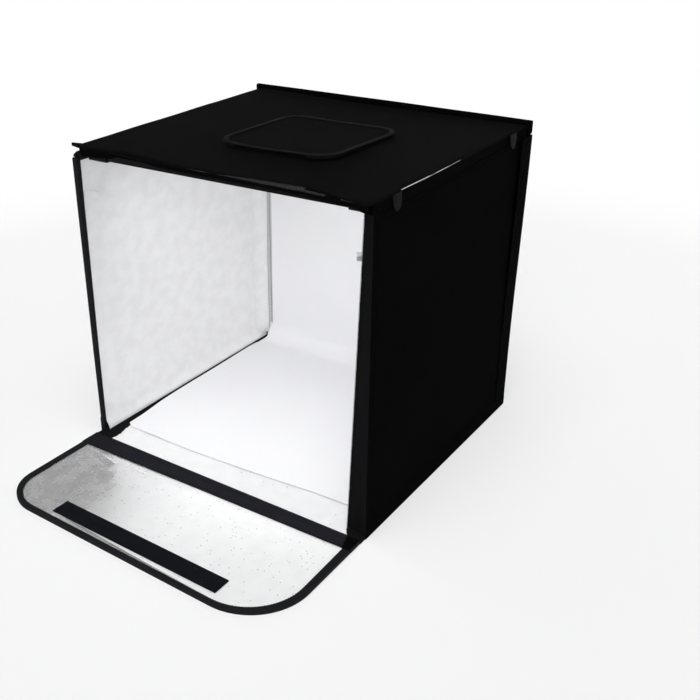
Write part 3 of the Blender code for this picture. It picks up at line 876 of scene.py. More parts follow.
def side_wall(side):
    wall = side + "_wall"
    sign = 1 if side == "right" else -1
    place = place_right if side == "right" else place_left
    u_range = (wall_front + tape * 2, wall_rear - tape * 2)
    cloth_piece = wall_cloth(
        side + "_wall_cloth", wall, place, u_range, (wall_front, hinge_rear), hinge_out - wall_out
    )
    hinge(cloth_piece, wall, "black_cloth", wall + "_cover", side + "_hinge_cloth")
    lining = wall_lining(side + "_wall_foil", wall, place, u_range, sign * -1)
    hinge(lining, wall, "silver_lining", wall + "_lining")
    corner_lining(side + "_rear_foil", wall, place, sign * -1)
    rect = (wall_front, wall_rear, panel + rest_gap, wall_top)
    inner = (
        (front_strip_foot, 0.0),
        (side_strip, 0.0),
        (side_strip, side_strip),
        (front_strip_top, side_strip),
    )
    outer = ((outer_strip, 0.0), (side_strip, 0.0), (side_strip, side_strip), (outer_strip, outer_strip))
    # The left wall's binding takes the lighter band tape and the right's the darker binding: painted light
    # on the left, painted shade on the right
    binding = folded_tape(
        side + "_wall_tape", rect, wall_radii, inner, outer, (recess * -0.5, panel), place,
        finish("binding" if side == "right" else "band tape"), steps=90, is_open=True,
    )
    # The binding's outward faces take the darker wall cloth: painted shade
    second_finish(
        binding, "wall cloth",
        lambda face: abs(face.center[0]) > wall_out - 0.0012 and abs(face.normal[0]) > 0.5,
    )
    hinge(binding, wall, "black_tape", wall + "_binding")
    stitches = edge_stitches(
        side + "_wall_stitches", rect, wall_radii, inner, panel - recess, place, finish("thread"), steps=90,
        is_open=True,
    )
    hinge(stitches, wall, "black_tape")
    outside = edge_stitches(
        side + "_wall_outer_stitches", rect, wall_radii, outer, 0.0, place, finish("wall cloth"), steps=90,
        is_open=True, lift=-1, reach=0.3,
    )
    hinge(outside, wall, "black_tape")


def left_stiffener():
    """The left wall's board leans with its cloth."""
    start, end = low("left_wall_board"), high("left_wall_board")
    rect = (start[1], end[1], start[2], end[2])
    depth = (start[0] + wall_out, end[0] + wall_out)
    radii = (plate_round,) * 4
    made = plate("left_wall_stiffener", rect, radii, depth, place_left, finish("board"), steps=30)
    put(made, "left_wall", "stiff_board", "left_wall_board")


def left_tab():
    """White tab that lies on the left lining and droops at its loose rear end."""
    start, end = low("left_wall_tab"), high("left_wall_tab")
    share = np.linspace(0, 1, 26)[None, :]
    across = np.linspace(0, 1, 12)[:, None]
    top = 0.3254 - 0.0042 * share - 0.0008 * smooth(share, 0.8, 1)
    height = 0.0082 - 0.0018 * smooth(share, 0.75, 1)
    y = start[1] - 0.0015 + (end[1] - start[1]) * share
    y = y - 0.0016 * (2 * across - 1) ** 2 * smooth(share, 0.8, 1)
    z = top - height * (1 - across)
    x = -wall_in + 0.0009 + recess + 0.0036 * share ** 2 + 0.0005 * np.sin(across * pi) * share
    made = slab("left_wall_white_tab", stack(x, y, z), cloth, finish("white tab"), side=1)
    put(made, "left_wall", "white_cloth", "left_wall_tab")


def right_tab():
    """White tab that is sewn to the right lining and curls out into the opening. Its faces are painted grey
    as painted shade, and its top edge stays white as a painted highlight.
    """
    end = high("right_wall_tab")
    share = np.linspace(0, 1, 30)[None, :]
    across = np.linspace(0, 1, 12)[:, None]
    turn = share * pi * 0.62
    radius = tab_curl
    x = wall_in - recess - radius * (1 - np.cos(turn)) * 1.15
    y = end[1] + 0.001 - 0.0095 * share * 1.3 - radius * np.sin(turn) * 0.35
    z = 0.3120 + 0.0090 * across + 0.0016 * share + 0.0006 * np.sin(across * pi)
    made = slab("right_wall_white_tab", stack(x, y, z), cloth, finish("shaded white tab"), side=-1)
    second_finish(made, "white tab", lambda face: face.center[2] > tab_painted_highlight_from)
    press_flat(made, "right_wall", wall_in, 0.1, "white_cloth", "right_wall_tab")


def right_gusset():
    """Black web at the right wall's front edge. It widens towards the floor."""
    v = np.linspace(panel + 0.0006, wall_top - 0.0002, 120)[:, None]
    share = np.linspace(0, 1, 8)[None, :]
    width = 0.0037 + 0.0136 * (1 - v / wall_top) ** 1.05
    ragged = 0.00035 * ripple(v, v, 0.006, 41)
    x = wall_in + 0.001 - (width + ragged + 0.001) * share
    y = wall_front + 0.0005 + 0.0012 * np.sin(share * pi) * ripple(v, v, 0.09, 42)
    made = slab("right_front_gusset", stack(x, y, v), cloth * 1.6, finish("binding"), side=-1)
    press_flat(made, "right_wall", wall_in, 0.05, "black_tape")
    line = v[:, 0]
    edge = stack(wall_in - width[:, 0], wall_front, line)
    across = stack(-1 + 0 * line, 0, 0)
    normal = stack(0 * line, -1, 0)
    made = zigzag("right_gusset_stitches", edge, across, normal, finish("thread"), False)
    press_flat(made, "right_wall", wall_in, 0.05, "black_tape")


def corner_flap(side):
    """Soft flap that joins a side wall's rear edge to the back wall, and the cloth behind its foot."""
    node, wall = side + "_corner_flap", side + "_wall"
    start, end = low(node), high(node)
    sign = 1 if side == "right" else -1
    out = end[0] if side == "right" else -start[0]
    side_run = np.linspace(start[1], end[1] - corner_round, 14)
    turn = np.linspace(0, pi / 2, 7)[1:-1]
    round_x = out - corner_round * (1 - np.cos(turn))
    round_y = end[1] - corner_round * (1 - np.sin(turn))
    back_run = np.linspace(out - corner_round, out - (end[0] - start[0]), 10)
    x = np.concatenate([np.full(14, out), round_x, back_run])[None, :]
    y = np.concatenate([side_run, round_y, np.full(10, end[1])])[None, :]
    head = wall_top + (0.0004 if side == "left" else -0.0002)
    z = np.linspace(fold_height[wall] + 0.0012, head, 70)[:, None]
    swell = 0.0004 * ripple(z, x * 40, 0.07, 51)
    lean = 0.0036 * smooth(z, 0.08, wall_top)
    grid = stack(sign * (x + lean + swell * (y < end[1] - 0.004)), y, z)
    made = slab(side + "_rear_corner_cloth", grid, cloth, finish("wall cloth"), side=sign)
    press_flat(made, wall, sign * wall_out, 0.3, "black_cloth", node)
    x = np.append(np.full(8, wall_out - 0.0006), np.linspace(wall_out - 0.0012, back_side + 0.001, 8))
    y = np.append(np.linspace(wall_rear + 0.001, back_out - 0.0012, 8), np.full(8, back_out - 0.0006))
    z = np.linspace(panel + 0.0006, fold_height[wall] + 0.0034, 12)[:, None]
    grid = stack(sign * x[None, :], y[None, :], z)
    made = slab(
        side + "_rear_corner_lining", grid, corner_lining_thickness, finish("wall cloth"), side=sign
    )
    put(made, "floor", "black_cloth")


def back_wall():
    wall = "back_wall"
    side = back_side - tape * 2
    foot = hinge_out - cloth - 0.0003
    made = wall_cloth(
        "back_wall_cloth", wall, place_back, (-side, side), (-foot, foot), hinge_rear - back_out
    )
    hinge(made, wall, "black_cloth", "back_wall_cover", "back_hinge_cloth")
    lining = wall_lining("back_wall_foil", wall, place_back, (-side, side), 1)
    hinge(lining, wall, "silver_lining", "back_wall_lining")
    rect = (-back_side, back_side, panel + rest_gap, wall_top)
    narrow = ((side_strip, 0.0), (side_strip, 0.0), (side_strip, side_strip), (side_strip, side_strip))
    binding = folded_tape(
        "back_wall_tape", rect, wall_radii, narrow, narrow, (recess * -0.5, panel - recess), place_back,
        finish("binding"), steps=90, is_open=True,
    )
    hinge(binding, wall, "black_tape", "back_wall_binding")
    outside = edge_stitches(
        "back_wall_outer_stitches", rect, wall_radii, narrow, 0.0, place_back, finish("thread"), steps=90,
        is_open=True, lift=-1, reach=0.3,
    )
    hinge(outside, wall, "black_tape")
    # Grey strips down the back wall's lining at its two side edges, in the gap beside the backdrop: painted
    # shade on the lining, with seam stitches
    for name, sign in (("left", -1), ("right", 1)):
        v = np.linspace(0.028, wall_top - 0.003, 150)[:, None]
        share = np.linspace(0, 1, 9)[None, :]
        u = sign * (back_side - 0.0005 - seam_width * share) + 0 * v
        w = panel + 0.0001 + 0.0002 * np.sin(v * 2 * pi * 260) * np.sin(share * pi)
        grid = place_back(u, v, w)
        made = slab("back_seam_" + name, grid, cloth * 0.5, finish("shaded seam tape"), side=sign * -1)
        put(made, wall, "silver_lining")
        line = v[:, 0]
        for edge, inset in (("outer", 0.0108), ("inner", 0.0158)):
            on = place_back(sign * (back_side - inset) + 0 * line, line, panel + 0.0003)
            towards, normal = stack(sign + 0 * line, 0, 0), stack(0 * line, -1, 0)
            label = "back_seam_stitches_" + name + "_" + edge
            made = zigzag(label, on, towards, normal, finish("seam thread"), False, 0.5)
            put(made, wall, "silver_lining")
    for name, node in (
        ("closing_loop_strip", "closing_loop_tape"), ("sheet_hook_strip", "backdrop_hook_tape")
    ):
        start, end = low(node), high(node)
        rect = (start[0], end[0], start[2], end[2])
        depth = (back_out - end[1], back_out - start[1])
        radii = (plate_round,) * 4
        made = plate(name, rect, radii, depth, place_back, finish("hook tape"), steps=30)
        put(made, wall, "hook_tape", node)


# Floor

# Widths of the floor's side strips, by the place from front to back
floor_strip_left = (
    (-0.190, 0.0255), (-0.177, 0.0270), (-0.166, 0.0240), (-0.152, 0.0220), (-0.147, 0.0165),
    (-0.119, 0.0160), (-0.079, 0.0130), (0.0, 0.0120), (0.180, 0.0120),
)
floor_strip_right = (
    (-0.1925, 0.0160), (-0.180, 0.0236), (-0.170, 0.0240), (-0.150, 0.0165), (0.18, 0.0120),
)


def floor_panel():
    size = bpy.context.scene.light_tent_sizes
    u = np.linspace(-wall_out + 0.0036, wall_out - 0.0036, 180)[None, :]
    v = np.append(np.linspace(floor_front - 0.0016, -0.14, 56), np.linspace(-0.136, back_out - 0.003, 90))
    v = v[:, None]
    crinkle = ripple(u, v, 0.018, 61) * 0.5 + ripple(u, v, 0.045, 62)
    front = 1 - smooth(v, -0.15, -0.13)
    edge = smooth(v, floor_front - 0.001, floor_front + 0.008)
    z = panel - 0.0008 + size.lining_waviness * 0.8 * crinkle * front * edge
    z = z + 0.0003 * front * (1 - edge)
    made = slab("floor_foil", stack(u, v, z), cloth, finish("floor foil"))
    floor_to_spine(made)
    finish_with(made, "silver_lining", "bottom_lining")

    u = np.linspace(-wall_out, wall_out, 60)[None, :]
    v = np.linspace(floor_front, back_out, 60)[:, None]
    made = slab("floor_underside", stack(u, v, 0.0004), 0.0004, finish("wall cloth"))
    put(made, "floor", "black_cloth", "bottom_cover")

    rect = (-wall_out, wall_out, floor_front, back_out)
    faces = ((outer_strip, 0.0), (outer_strip, 0.0), (side_strip, side_strip), (side_strip, side_strip))
    made = folded_tape(
        "floor_tape", rect, (0.001, 0.001, 0.004, 0.004), faces, faces, (0.0009, panel - 0.0003),
        place_ground, finish("binding"), steps=70, is_open=True,
    )
    put(made, "floor", "black_tape", "bottom_binding")

    v = np.linspace(floor_front - 0.0022, back_out - 0.004, 260)[:, None]
    share = np.linspace(0, 1, 10)[None, :]
    for name, sign, widths in (("left", -1, floor_strip_left), ("right", 1, floor_strip_right)):
        width = read_off(v, widths) + 0.0009 * ripple(v, v, 0.007, 63) * (v < -0.15)
        x = sign * (wall_out - 0.002 - (width - 0.002) * share)
        grid = stack(x, v, panel - 0.0001 - 0.0003 * share)
        made = slab("floor_side_strip_" + name, grid, 0.0003, finish("binding"), side=-sign)
        put(made, "floor", "black_tape")


def floor_to_spine(made):
    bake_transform(made)


def spine_to_flap(made):
    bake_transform(made)


# Backdrop

sheet_sweep_radius = 0.026
sheet_front_end = -0.1500

# How far the sheet's left edge is out, by the length along the sheet, and how its front edge runs
sheet_left = (
    (0.0, 0.1797), (0.03, 0.1815), (0.07, 0.1848), (0.15, 0.1862), (0.285, 0.1868), (0.32, 0.1800),
    (0.46, 0.1775), (0.70, 0.1760),
)
sheet_front = (
    (-0.18, 0.0), (-0.17, -0.0052), (-0.07, -0.0062), (0.014, -0.0024), (0.107, 0.0050),
    (0.154, 0.0062), (0.186, 0.0050),
)


def backdrop():
    """The white sheet lies on the floor, sweeps up and hangs down the back wall."""
    size = bpy.context.scene.light_tent_sizes
    rear = back_in - 0.0009
    bed = panel + rest_gap
    radius, front = sheet_sweep_radius, sheet_front_end
    top = high("backdrop_sheet")[2]
    flat = rear - radius - front
    sweep = radius * pi / 2
    length = flat + sweep + top - bed - radius
    s = np.append(np.linspace(0, flat, 110), flat + sweep * np.linspace(0, 1, 18)[1:-1])
    s = np.append(s, np.linspace(flat + sweep, length, 90))[:, None]
    turn = np.clip((s - flat) / radius, 0, pi / 2)
    y = front + np.minimum(s, flat) + radius * np.sin(turn)
    z = bed + radius * (1 - np.cos(turn)) + np.maximum(s - flat - sweep, 0)
    share = np.linspace(-1, 1, 150)[None, :]
    right = np.interp(s, (0, flat, flat + sweep, length), (0.1855, 0.1868, 0.1800, 0.1770))
    x = np.where(share < 0, share * read_off(s, sheet_left), share * right)
    y = y + read_off(x[:1], sheet_front) * (1 - smooth(s, 0, 0.06))
    lie = smooth(s, 0.004, 0.03) * (1 - smooth(s, flat - 0.03, flat))
    swell = size.sheet_waviness * (0.5 + 0.5 * ripple(x, s, 0.17, 71)) * lie
    curl = 0.0007 * (1 - smooth(s, 0, 0.02)) * (0.5 + 0.5 * ripple(x, x, 0.12, 72))
    hang = size.sheet_waviness * 0.8 * (0.5 + 0.5 * ripple(x, s, 0.21, 73))
    hang = hang * smooth(s, flat + sweep, flat + sweep + 0.08)
    hang = hang * (1 - smooth(s, length - 0.05, length))
    grid = stack(x, y - hang, z + swell + curl)
    made = slab("backdrop", grid, cloth, finish("backdrop"))
    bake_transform(made)
    finish_with(made, "white_sheet", "backdrop_sheet")


# Hinge band and spine

band_rear = -0.1912
band_middle = -0.2005
band_front = (-0.2176, -0.2125)
# Past this line the band's right end takes the darker wall cloth: painted shade
band_painted_shade_from = 0.1221
spine_wrap_half = (0.0098, 0.0026)
spine_wrap_middle = (-0.2008, 0.0034)
spine_wrap_rings = (0.1960, 0.1975, 0.1985, 0.1990)


def hinge_band():
    """Black webbing over the two folds between the floor panel and the flap."""
    x = np.linspace(-wall_out, wall_out, 200)[None, :]
    front = np.interp(x, (-wall_out, wall_out), band_front)
    share = np.linspace(0, 1, 16)[:, None]
    for name, start, end, sets, nodes in (
        ("hinge_band_rear", band_middle - 0.0008, band_rear, floor_to_spine, ()),
        ("hinge_band_front", front, band_middle, spine_to_flap, ("spine_band",)),
    ):
        y = start + (end - start) * share + 0.0002 * ripple(x, x, 0.05, 81)
        rim = np.minimum(share, 1 - share)
        z = panel + 0.00025 + 0.0003 * smooth(rim, 0, 0.12) + 0.0002 * (name == "hinge_band_front")
        z = z + 0.0003 * ripple(x, y, 0.09, 82) * smooth(rim, 0, 0.3)
        made = slab(name, stack(x, y, z), cloth * 0.8, finish("hinge band"))
        # The band's right end in the darker wall cloth: painted shade
        second_finish(
            made, "wall cloth", lambda face: face.center[0] + 0.32 * face.center[1] > band_painted_shade_from
        )
        sets(made)
        finish_with(made, "black_tape", *nodes)
    line = x[0]
    for name, y, towards, sets in (
        ("hinge_band_rear_stitches", band_rear + 0 * line, 1, floor_to_spine),
        ("hinge_band_front_stitches", front[0], -1, spine_to_flap),
    ):
        edge = stack(line, y, panel + 0.0005)
        across, normal = stack(0 * line, towards, 0), stack(0 * line, 0, 1)
        made = zigzag(name, edge, across, normal, finish("thread"), False, 0.6)
        sets(made)
        finish_with(made, "black_tape")


def spine():
    """Cloth under the spine, and tape wrapped round its two ends."""
    across, tall = boxed(20, 0.3, 0.4)
    y = across * spine_wrap_half[0] + spine_wrap_middle[0]
    z = tall * spine_wrap_half[1] + spine_wrap_middle[1]
    for name, sign in (("left", -1), ("right", 1)):
        rings = [stack(sign * at, y, z) for at in spine_wrap_rings]
        made = loft("spine_end_wrap_" + name, rings, finish("band tape"))
        put(made, "spine", "black_tape")
    x = np.linspace(-wall_out, wall_out, 60)[None, :]
    y = np.linspace(low("spine_cover")[1] - 0.0012, high("spine_cover")[1] + 0.0012, 18)[:, None]
    made = slab("spine_underside", stack(x, y, 0.0018), 0.0008, finish("wall cloth"))
    put(made, "spine", "black_cloth", "spine_cover")


# Flap

flap_round_left = 0.052
flap_round_right = 0.073
flap_strip = 0.0048
flap_slant = (0.0024, 0.0070)
flap_creases = (
    ((-0.150, -0.228), (0.190, -0.224), 0.0004),
    ((-0.188, -0.222), (-0.120, -0.233), 0.0007),
    ((-0.182, -0.229), (-0.128, -0.243), -0.0005),
    ((-0.040, -0.236), (0.060, -0.231), -0.0003),
    ((0.020, -0.246), (0.150, -0.243), -0.0004),
    ((0.060, -0.250), (0.185, -0.236), 0.0003),
)
closing_tape_length = 0.2405
closing_tape_slant = -0.0105


def flap_half_width(y, radius):
    """Half the flap's width at a distance towards one of its rounded front corners."""
    past = np.clip((flap_front + radius - y) / radius, 0, 1)
    return wall_out - radius * (1 - np.sqrt(1 - past ** 2))


def flap_place(x, y, z):
    """The flap's front edge runs a little askew: its left end is shorter than its right end."""
    reach = np.clip((flap_rear - y) / (flap_rear - flap_front), 0, 1)
    right, left = flap_slant
    return stack(x, y + reach * (right + left * np.clip((wall_out - x) / wall_out / 2, 0, 1)), z)


def flap_grid(y, share, inset):
    """Columns from the flap's left edge to its right edge, drawn in by an inset."""
    left = flap_half_width(y, flap_round_left) - inset
    right = flap_half_width(y, flap_round_right) - inset
    return np.where(share < 0, share * left, share * right)


def flap():
    size = bpy.context.scene.light_tent_sizes
    near = flap_front + flap_strip * 0.6
    far = np.linspace(near + 0.0128, flap_rear + 0.0002, 140)
    y = np.append(near + 0.012 * np.linspace(0, 1, 16) ** 1.4, far)[:, None]
    share = np.linspace(-1, 1, 400)[None, :]
    x = flap_grid(y - 0.002, share, 0.003)
    grain = ripple(x, y, 0.0046, 91, 9) * 0.00007
    soft = ripple(x, y, 0.055, 92) * 0.6 + ripple(x, y, 0.022, 93) * 0.25
    z = panel - 0.0007 + grain + size.lining_waviness * 1.2 * soft
    for start, end, depth in flap_creases:
        z = z + depth * crease(x, y, start, end, 0.0022)
    edge = smooth(1 - np.abs(share), 0, 0.035) * smooth(y, near, near + 0.008)
    z = panel - 0.0008 + (z - panel + 0.0008) * edge
    made = slab("flap_foil", flap_place(x, y, z), cloth * 0.6, finish("foil"))
    put(made, "flap", "silver_lining", "flap_lining")

    turned = (-wall_out, wall_out, -flap_rear, -flap_front)
    radii = (0.001, 0.001, flap_round_right, flap_round_left)
    faces = ((0.0098, 0.0), (0.0080, 0.0), (0.0070, flap_strip), (0.0098, 0.0058))

    def place(u, v, w):
        return flap_place(u, -v, w)

    made = folded_tape(
        "flap_tape", turned, radii, faces, faces, (0.0004, panel), place, finish("band tape"), steps=70,
        arcs=flap_arc_steps, is_open=True,
    )
    put(made, "flap", "black_tape", "flap_binding")
    made = edge_stitches(
        "flap_stitches", turned, radii, faces, panel - 0.0003, place, finish("thread"), steps=70,
        arcs=flap_arc_steps, is_open=True,
    )
    put(made, "flap", "black_tape")

    share = np.linspace(-1, 1, 90)[None, :]
    y = np.linspace(flap_front + 0.0012, flap_rear, 60)[:, None]
    grid = flap_place(flap_grid(y, share, 0.0012), y, 0.0007)
    made = slab("flap_underside", grid, 0.0006, finish("wall cloth"))
    put(made, "flap", "black_cloth", "flap_cover")
    y = np.linspace(flap_front + 0.0030, flap_rear - 0.0012, 60)[:, None]
    grid = flap_place(flap_grid(y - 0.001, share, 0.0030), y, 0.0039)
    made = slab("flap_stiffener", grid, 0.0018, finish("board"))
    put(made, "flap", "stiff_board", "flap_board")

    share = np.linspace(0, 1, 1400)[:, None]
    across = np.linspace(0, 1, 6)[None, :]
    x = -0.1150 + 0.2430 * share + 0 * across
    rear = -0.3416 - 0.0118 * share
    right, left = flap_slant
    front = flap_front + flap_strip * 0.8 + right + left * (wall_out - x) / wall_out / 2
    rib = np.abs(np.sin(x * pi / 0.0016)) * np.sin(np.clip(across * 1.15, 0, 1) * pi) ** 0.5
    grid = stack(x, rear + (front - rear) * across, panel - 0.0005 + 0.00055 * rib)
    made = slab("flap_ribbed_edge", grid, 0.0003, finish("ribbed foil"))
    put(made, "flap", "silver_lining")

    def tape_place(u, v, w):
        return stack(u + 0.0038, v + u * closing_tape_slant - 0.0018, w)

    half = closing_tape_length / 2
    rect = (-half, half, low("closing_hook_tape")[1], high("closing_hook_tape")[1])
    made = plate(
        "closing_hook_strip", rect, (0.0006,) * 4, (panel - 0.0004, panel + 0.0010), tape_place,
        finish("hook tape"), steps=40,
    )
    put(made, "flap", "hook_tape", "closing_hook_tape")


# Lid

port_round = 0.021
lid_round = 0.003
lid_right = 0.1985
lid_left = -0.1820
lid_near = -0.1800
lid_left_drift = 0.0108
lid_roll = 0.0026
port_tape = 0.006
port_ring_start = 0.0063
port_ring_width = 0.0085

# Pairs of a place and a measure. The bow and the glint are taken along the lid's right edge; the glint's
# measure sets the width of the foil strip there, which paints a broken highlight.
lid_bow_pairs = (
    (-0.190, -0.0012), (-0.137, 0.0), (-0.073, 0.0014), (-0.027, 0.0010), (0.03, -0.0004),
    (0.17, -0.0020),
)
glint_pairs = (
    (-0.1385, 0.2), (-0.136, 0.8), (-0.082, 0.9), (-0.075, 0.05), (-0.066, 0.05), (-0.063, 0.6),
    (-0.040, 0.45), (-0.036, 0.03), (-0.018, 0.03), (-0.015, 0.3), (-0.011, 0.1),
)
hem_front = (
    (-0.193, -0.1868), (-0.162, -0.1868), (-0.140, -0.1812), (-0.116, -0.1776), (-0.033, -0.1826),
    (0.027, -0.1830), (0.043, -0.1845), (0.090, -0.1872), (0.127, -0.1887), (0.172, -0.1897),
    (0.201, -0.1906),
)
hem_foot = (
    (-0.193, 0.3722), (-0.144, 0.3722), (-0.036, 0.3726), (0.083, 0.3730), (0.188, 0.3730),
    (0.192, 0.3700), (0.201, 0.3700),
)
cloth_front = (
    (-0.193, -0.1862), (-0.162, -0.1860), (-0.140, -0.1800), (-0.116, -0.1762), (-0.033, -0.1812),
    (0.027, -0.1812), (0.060, -0.1785), (0.117, -0.1753), (0.150, -0.1810), (0.170, -0.1876),
    (0.201, -0.1908),
)
bar_top = (
    (-0.203, 0.3899), (-0.131, 0.3890), (-0.051, 0.3876), (0.024, 0.3865), (0.094, 0.3850),
    (0.160, 0.3839), (0.203, 0.3829),
)


def lid_bow(y):
    """How far the lid's right edge bows out of line."""
    return read_off(y, lid_bow_pairs)


def lid_shape(points):
    """Bends the flat lid: its left side stands up a little, its right side bows out and drops."""
    x, y, z = points[..., 0], points[..., 1], points[..., 2]
    top = smooth(z, lid_low, lid_low + 0.0025)
    left = smooth(-x, 0.02, 0.19)
    right = smooth(x, 0.03, 0.20)
    rise = left * (0.0033 + 0.0009 * smooth(y, -0.18, 0.17)) - right * 0.0022 * smooth(y, 0.02, 0.17)
    rise = rise + 0.0007 * ripple(x, y, 0.30, 101) * (1 - smooth(np.abs(x), 0.16, 0.19))
    x = x + lid_bow(y) * smooth(x, 0.15, 0.199)
    edge = smooth(z, lid_low - 0.0085, lid_low)
    x = x - lid_left_drift * np.clip((y + 0.18) / 0.35, 0, 1) * smooth(-x, 0.02, 0.182) * edge
    return stack(x, y, z + rise * top)


def lid_cloth():
    size = bpy.context.scene.light_tent_sizes
    rect = (lid_left, lid_right, lid_near, lid_rear)
    steps = 60
    inner = outline(port_hole(), (port_round,) * 4, even(-0.001), steps)
    outer = outline(rect, (lid_round,) * 4, even(0.0), steps)
    grid = []
    for share in 1 - (1 - np.linspace(0, 1, 34)) ** 1.35:
        points = inner + (outer - inner) * share
        grid.append(place_lid(points[:, 0], points[:, 1], 0.0))
    roll = lid_roll
    for turn in np.linspace(0, pi / 2, 7)[1:]:
        points = outline(rect, (lid_round,) * 4, even(-roll * sin(turn)), steps)
        grid.append(place_lid(points[:, 0], points[:, 1], roll * (1 - cos(turn))))
    drop = lid_top - roll - wall_top - 0.0008
    for share in np.linspace(0, 1, 8)[1:]:
        left = -roll - 0.0148 * share
        right = -roll + 0.0004 * share
        front = -roll + 0.009 * share
        spread = ((left, front), (right, front), (right, -roll), (left, -roll))
        points = outline(rect, (lid_round,) * 4, spread, steps)
        back = 0.0150 * share * (1 - smooth(points[:, 1], -0.1735, -0.1650)) * (points[:, 0] < lid_left)
        grid.append(place_lid(points[:, 0] + back, points[:, 1], roll + drop * share))
    x, y, z = np.moveaxis(np.stack(grid), -1, 0)
    pulled = read_off(x, cloth_front) - (lid_near - lid_roll)
    y = y + pulled * smooth(-y, 0.135, 0.179) * (1 - smooth(lid_top - z, lid_roll, 0.0040))
    least = 0.3766 - 0.0098 * smooth(y, -0.1835, -0.1790) * smooth(np.abs(x), 0.179, 0.186)
    z = np.maximum(z, least - 0.0098 * smooth(y, 0.0, 0.1))
    inside = smooth(lid_top - z, 0.0004, 0.0) * smooth(-y, -0.16, -0.12)
    z = z + size.cloth_waviness * 1.2 * ripple(x, y, 0.14, 102) * inside
    made = slab("lid_cloth", lid_shape(stack(x, y, z)), cloth, finish("lid cloth"), wrap=True, side=-1)
    # The lid cloth's side faces below its rounded edge take the darker wall cloth: painted shade
    second_finish(made, "wall cloth", lambda face: face.center[2] < lid_top - 0.0032)
    put(made, "lid", "black_cloth", "lid_cover", "lid_binding")

    within = (lid_left + 0.0005, lid_right - 0.0015, -0.1735, lid_rear - 0.003)
    for name, w, thickness, look, slot, node in (
        ("lid_stiffener", 0.0009, 0.0018, "board", "stiff_board", "lid_board"),
        ("lid_foil", 0.0034, cloth, "wall foil", "silver_lining", "lid_lining"),
    ):
        grid = []
        for share in np.linspace(0, 1, 24):
            points = inner + (outline(within, (lid_round,) * 4, even(0.002), steps) - inner) * share
            grid.append(place_lid(points[:, 0], points[:, 1], w))
        made = slab(name, lid_shape(np.stack(grid)), thickness, finish(look), wrap=True, side=-1)
        put(made, "lid", slot, node)


def port_hole():
    """The camera port's hole, inside the tape that lines it."""
    start, end = low("port_rim_binding") + port_tape, high("port_rim_binding") - port_tape
    return start[0], end[0], start[1], end[1]


def front_hem():
    """The lid's front hem: a roll of cloth over the light bar. A crescent of its faces takes a glossier
    finish in a lighter colour: real gloss with a painted sheen.
    """
    x = np.linspace(lid_left + 0.0042, 0.1998, 220)
    reach = read_off(x, hem_front)
    back = read_off(x, cloth_front) + 0.006
    foot = read_off(x, hem_foot)
    bulge = 0.0008 * ripple(x, x, 0.05, 111) + 0.00025 * ripple(x, x, 0.009, 112)
    section = (
        (1.0, 0.0, 0.0014),
        (0.72, 0.0, 0.0009),
        (0.40, 0.0, 0.0011),
        (0.16, 0.0, 0.0019),
        (0.03, 0.0, 0.0029),
        (0.0, 0.15, 0.0026),
        (0.05, 0.45, 0.0026),
        (0.22, 0.78, 0.0026),
        (0.30, 0.97, 0.0026),
        (0.36, 1.0, 0.0026),
        (0.42, 0.97, 0.0026),
        (0.42, 0.5, 0.0026),
        (0.62, 0.12, 0.0030),
        (1.0, 0.0, 0.0030),
    )
    rings = []
    for across, down, under in section:
        y = reach + (back - reach) * across - bulge * (1 - across)
        top = lid_top - under
        rings.append(lid_shape(stack(x, y, top + (foot - top) * down)))

    # Faces of the crescent along the hem's top: glossier cloth, and their lighter colour is a painted sheen
    def glossy_painted_sheen_faces(face):
        at, ring = face.center[0], face.index % len(section)
        wide = 0.0 < at < 0.122 and ring in (1, 2)
        narrow = (-0.022 < at < 0.150 or 0.168 < at < 0.184) and ring == 2
        return wide or narrow

    made = loft("lid_front_hem", np.stack(rings, axis=1), finish("wall cloth"), sharp=70)
    second_finish(made, "front hem", glossy_painted_sheen_faces)
    put(made, "lid", "black_tape")


def corner_folds():
    """Folded cloth between the walls' top corners and the lid's corners."""
    share = np.linspace(0, 1, 8)[:, None]
    across = np.linspace(0, 1, 5)[None, :]
    top = np.interp(share, (0, 0.12, 0.82, 1), (0.3682, 0.3690, 0.3762, 0.3764))
    for name, x, y, z, look, side in (
        ("front_corner_fold_right", 0.1878 + 0.0116 * share, -0.1803, 0.3667 + 0.0062 * across,
         "wall cloth", -1),
        ("front_corner_fold_left", -0.1978 + 0.0160 * share, -0.1778,
         0.3668 + (top - 0.3668) * across, "binding", -1),
        ("rear_corner_fold_left", -0.2034 + 0.0186 * share, 0.1772, 0.3666 + 0.0090 * across,
         "wall cloth", 1),
    ):
        made = slab("lid_" + name, stack(x, y, z), leaf_thickness, finish(look), side=side)
        put(made, "lid", "black_tape")


def front_wing():
    """The stiff end of the front hem stands out past the lid's left corner."""
    share = np.linspace(0, 1, 9)
    x = -0.1835 - 0.0148 * share
    top = 0.3836 - 0.0009 * share
    foot = 0.3774 + 0.0014 * share
    thick = 0.0016 - 0.0006 * share
    across, tall = boxed(16, 0.5, 0.5)
    rings = [
        stack(a, -0.1768 + across * d, (b + c) / 2 + tall * (b - c) / 2)
        for a, b, c, d in zip(x, top, foot, thick)
    ]
    made = loft("lid_front_wing", rings, finish("binding"))
    put(made, "lid", "black_tape")


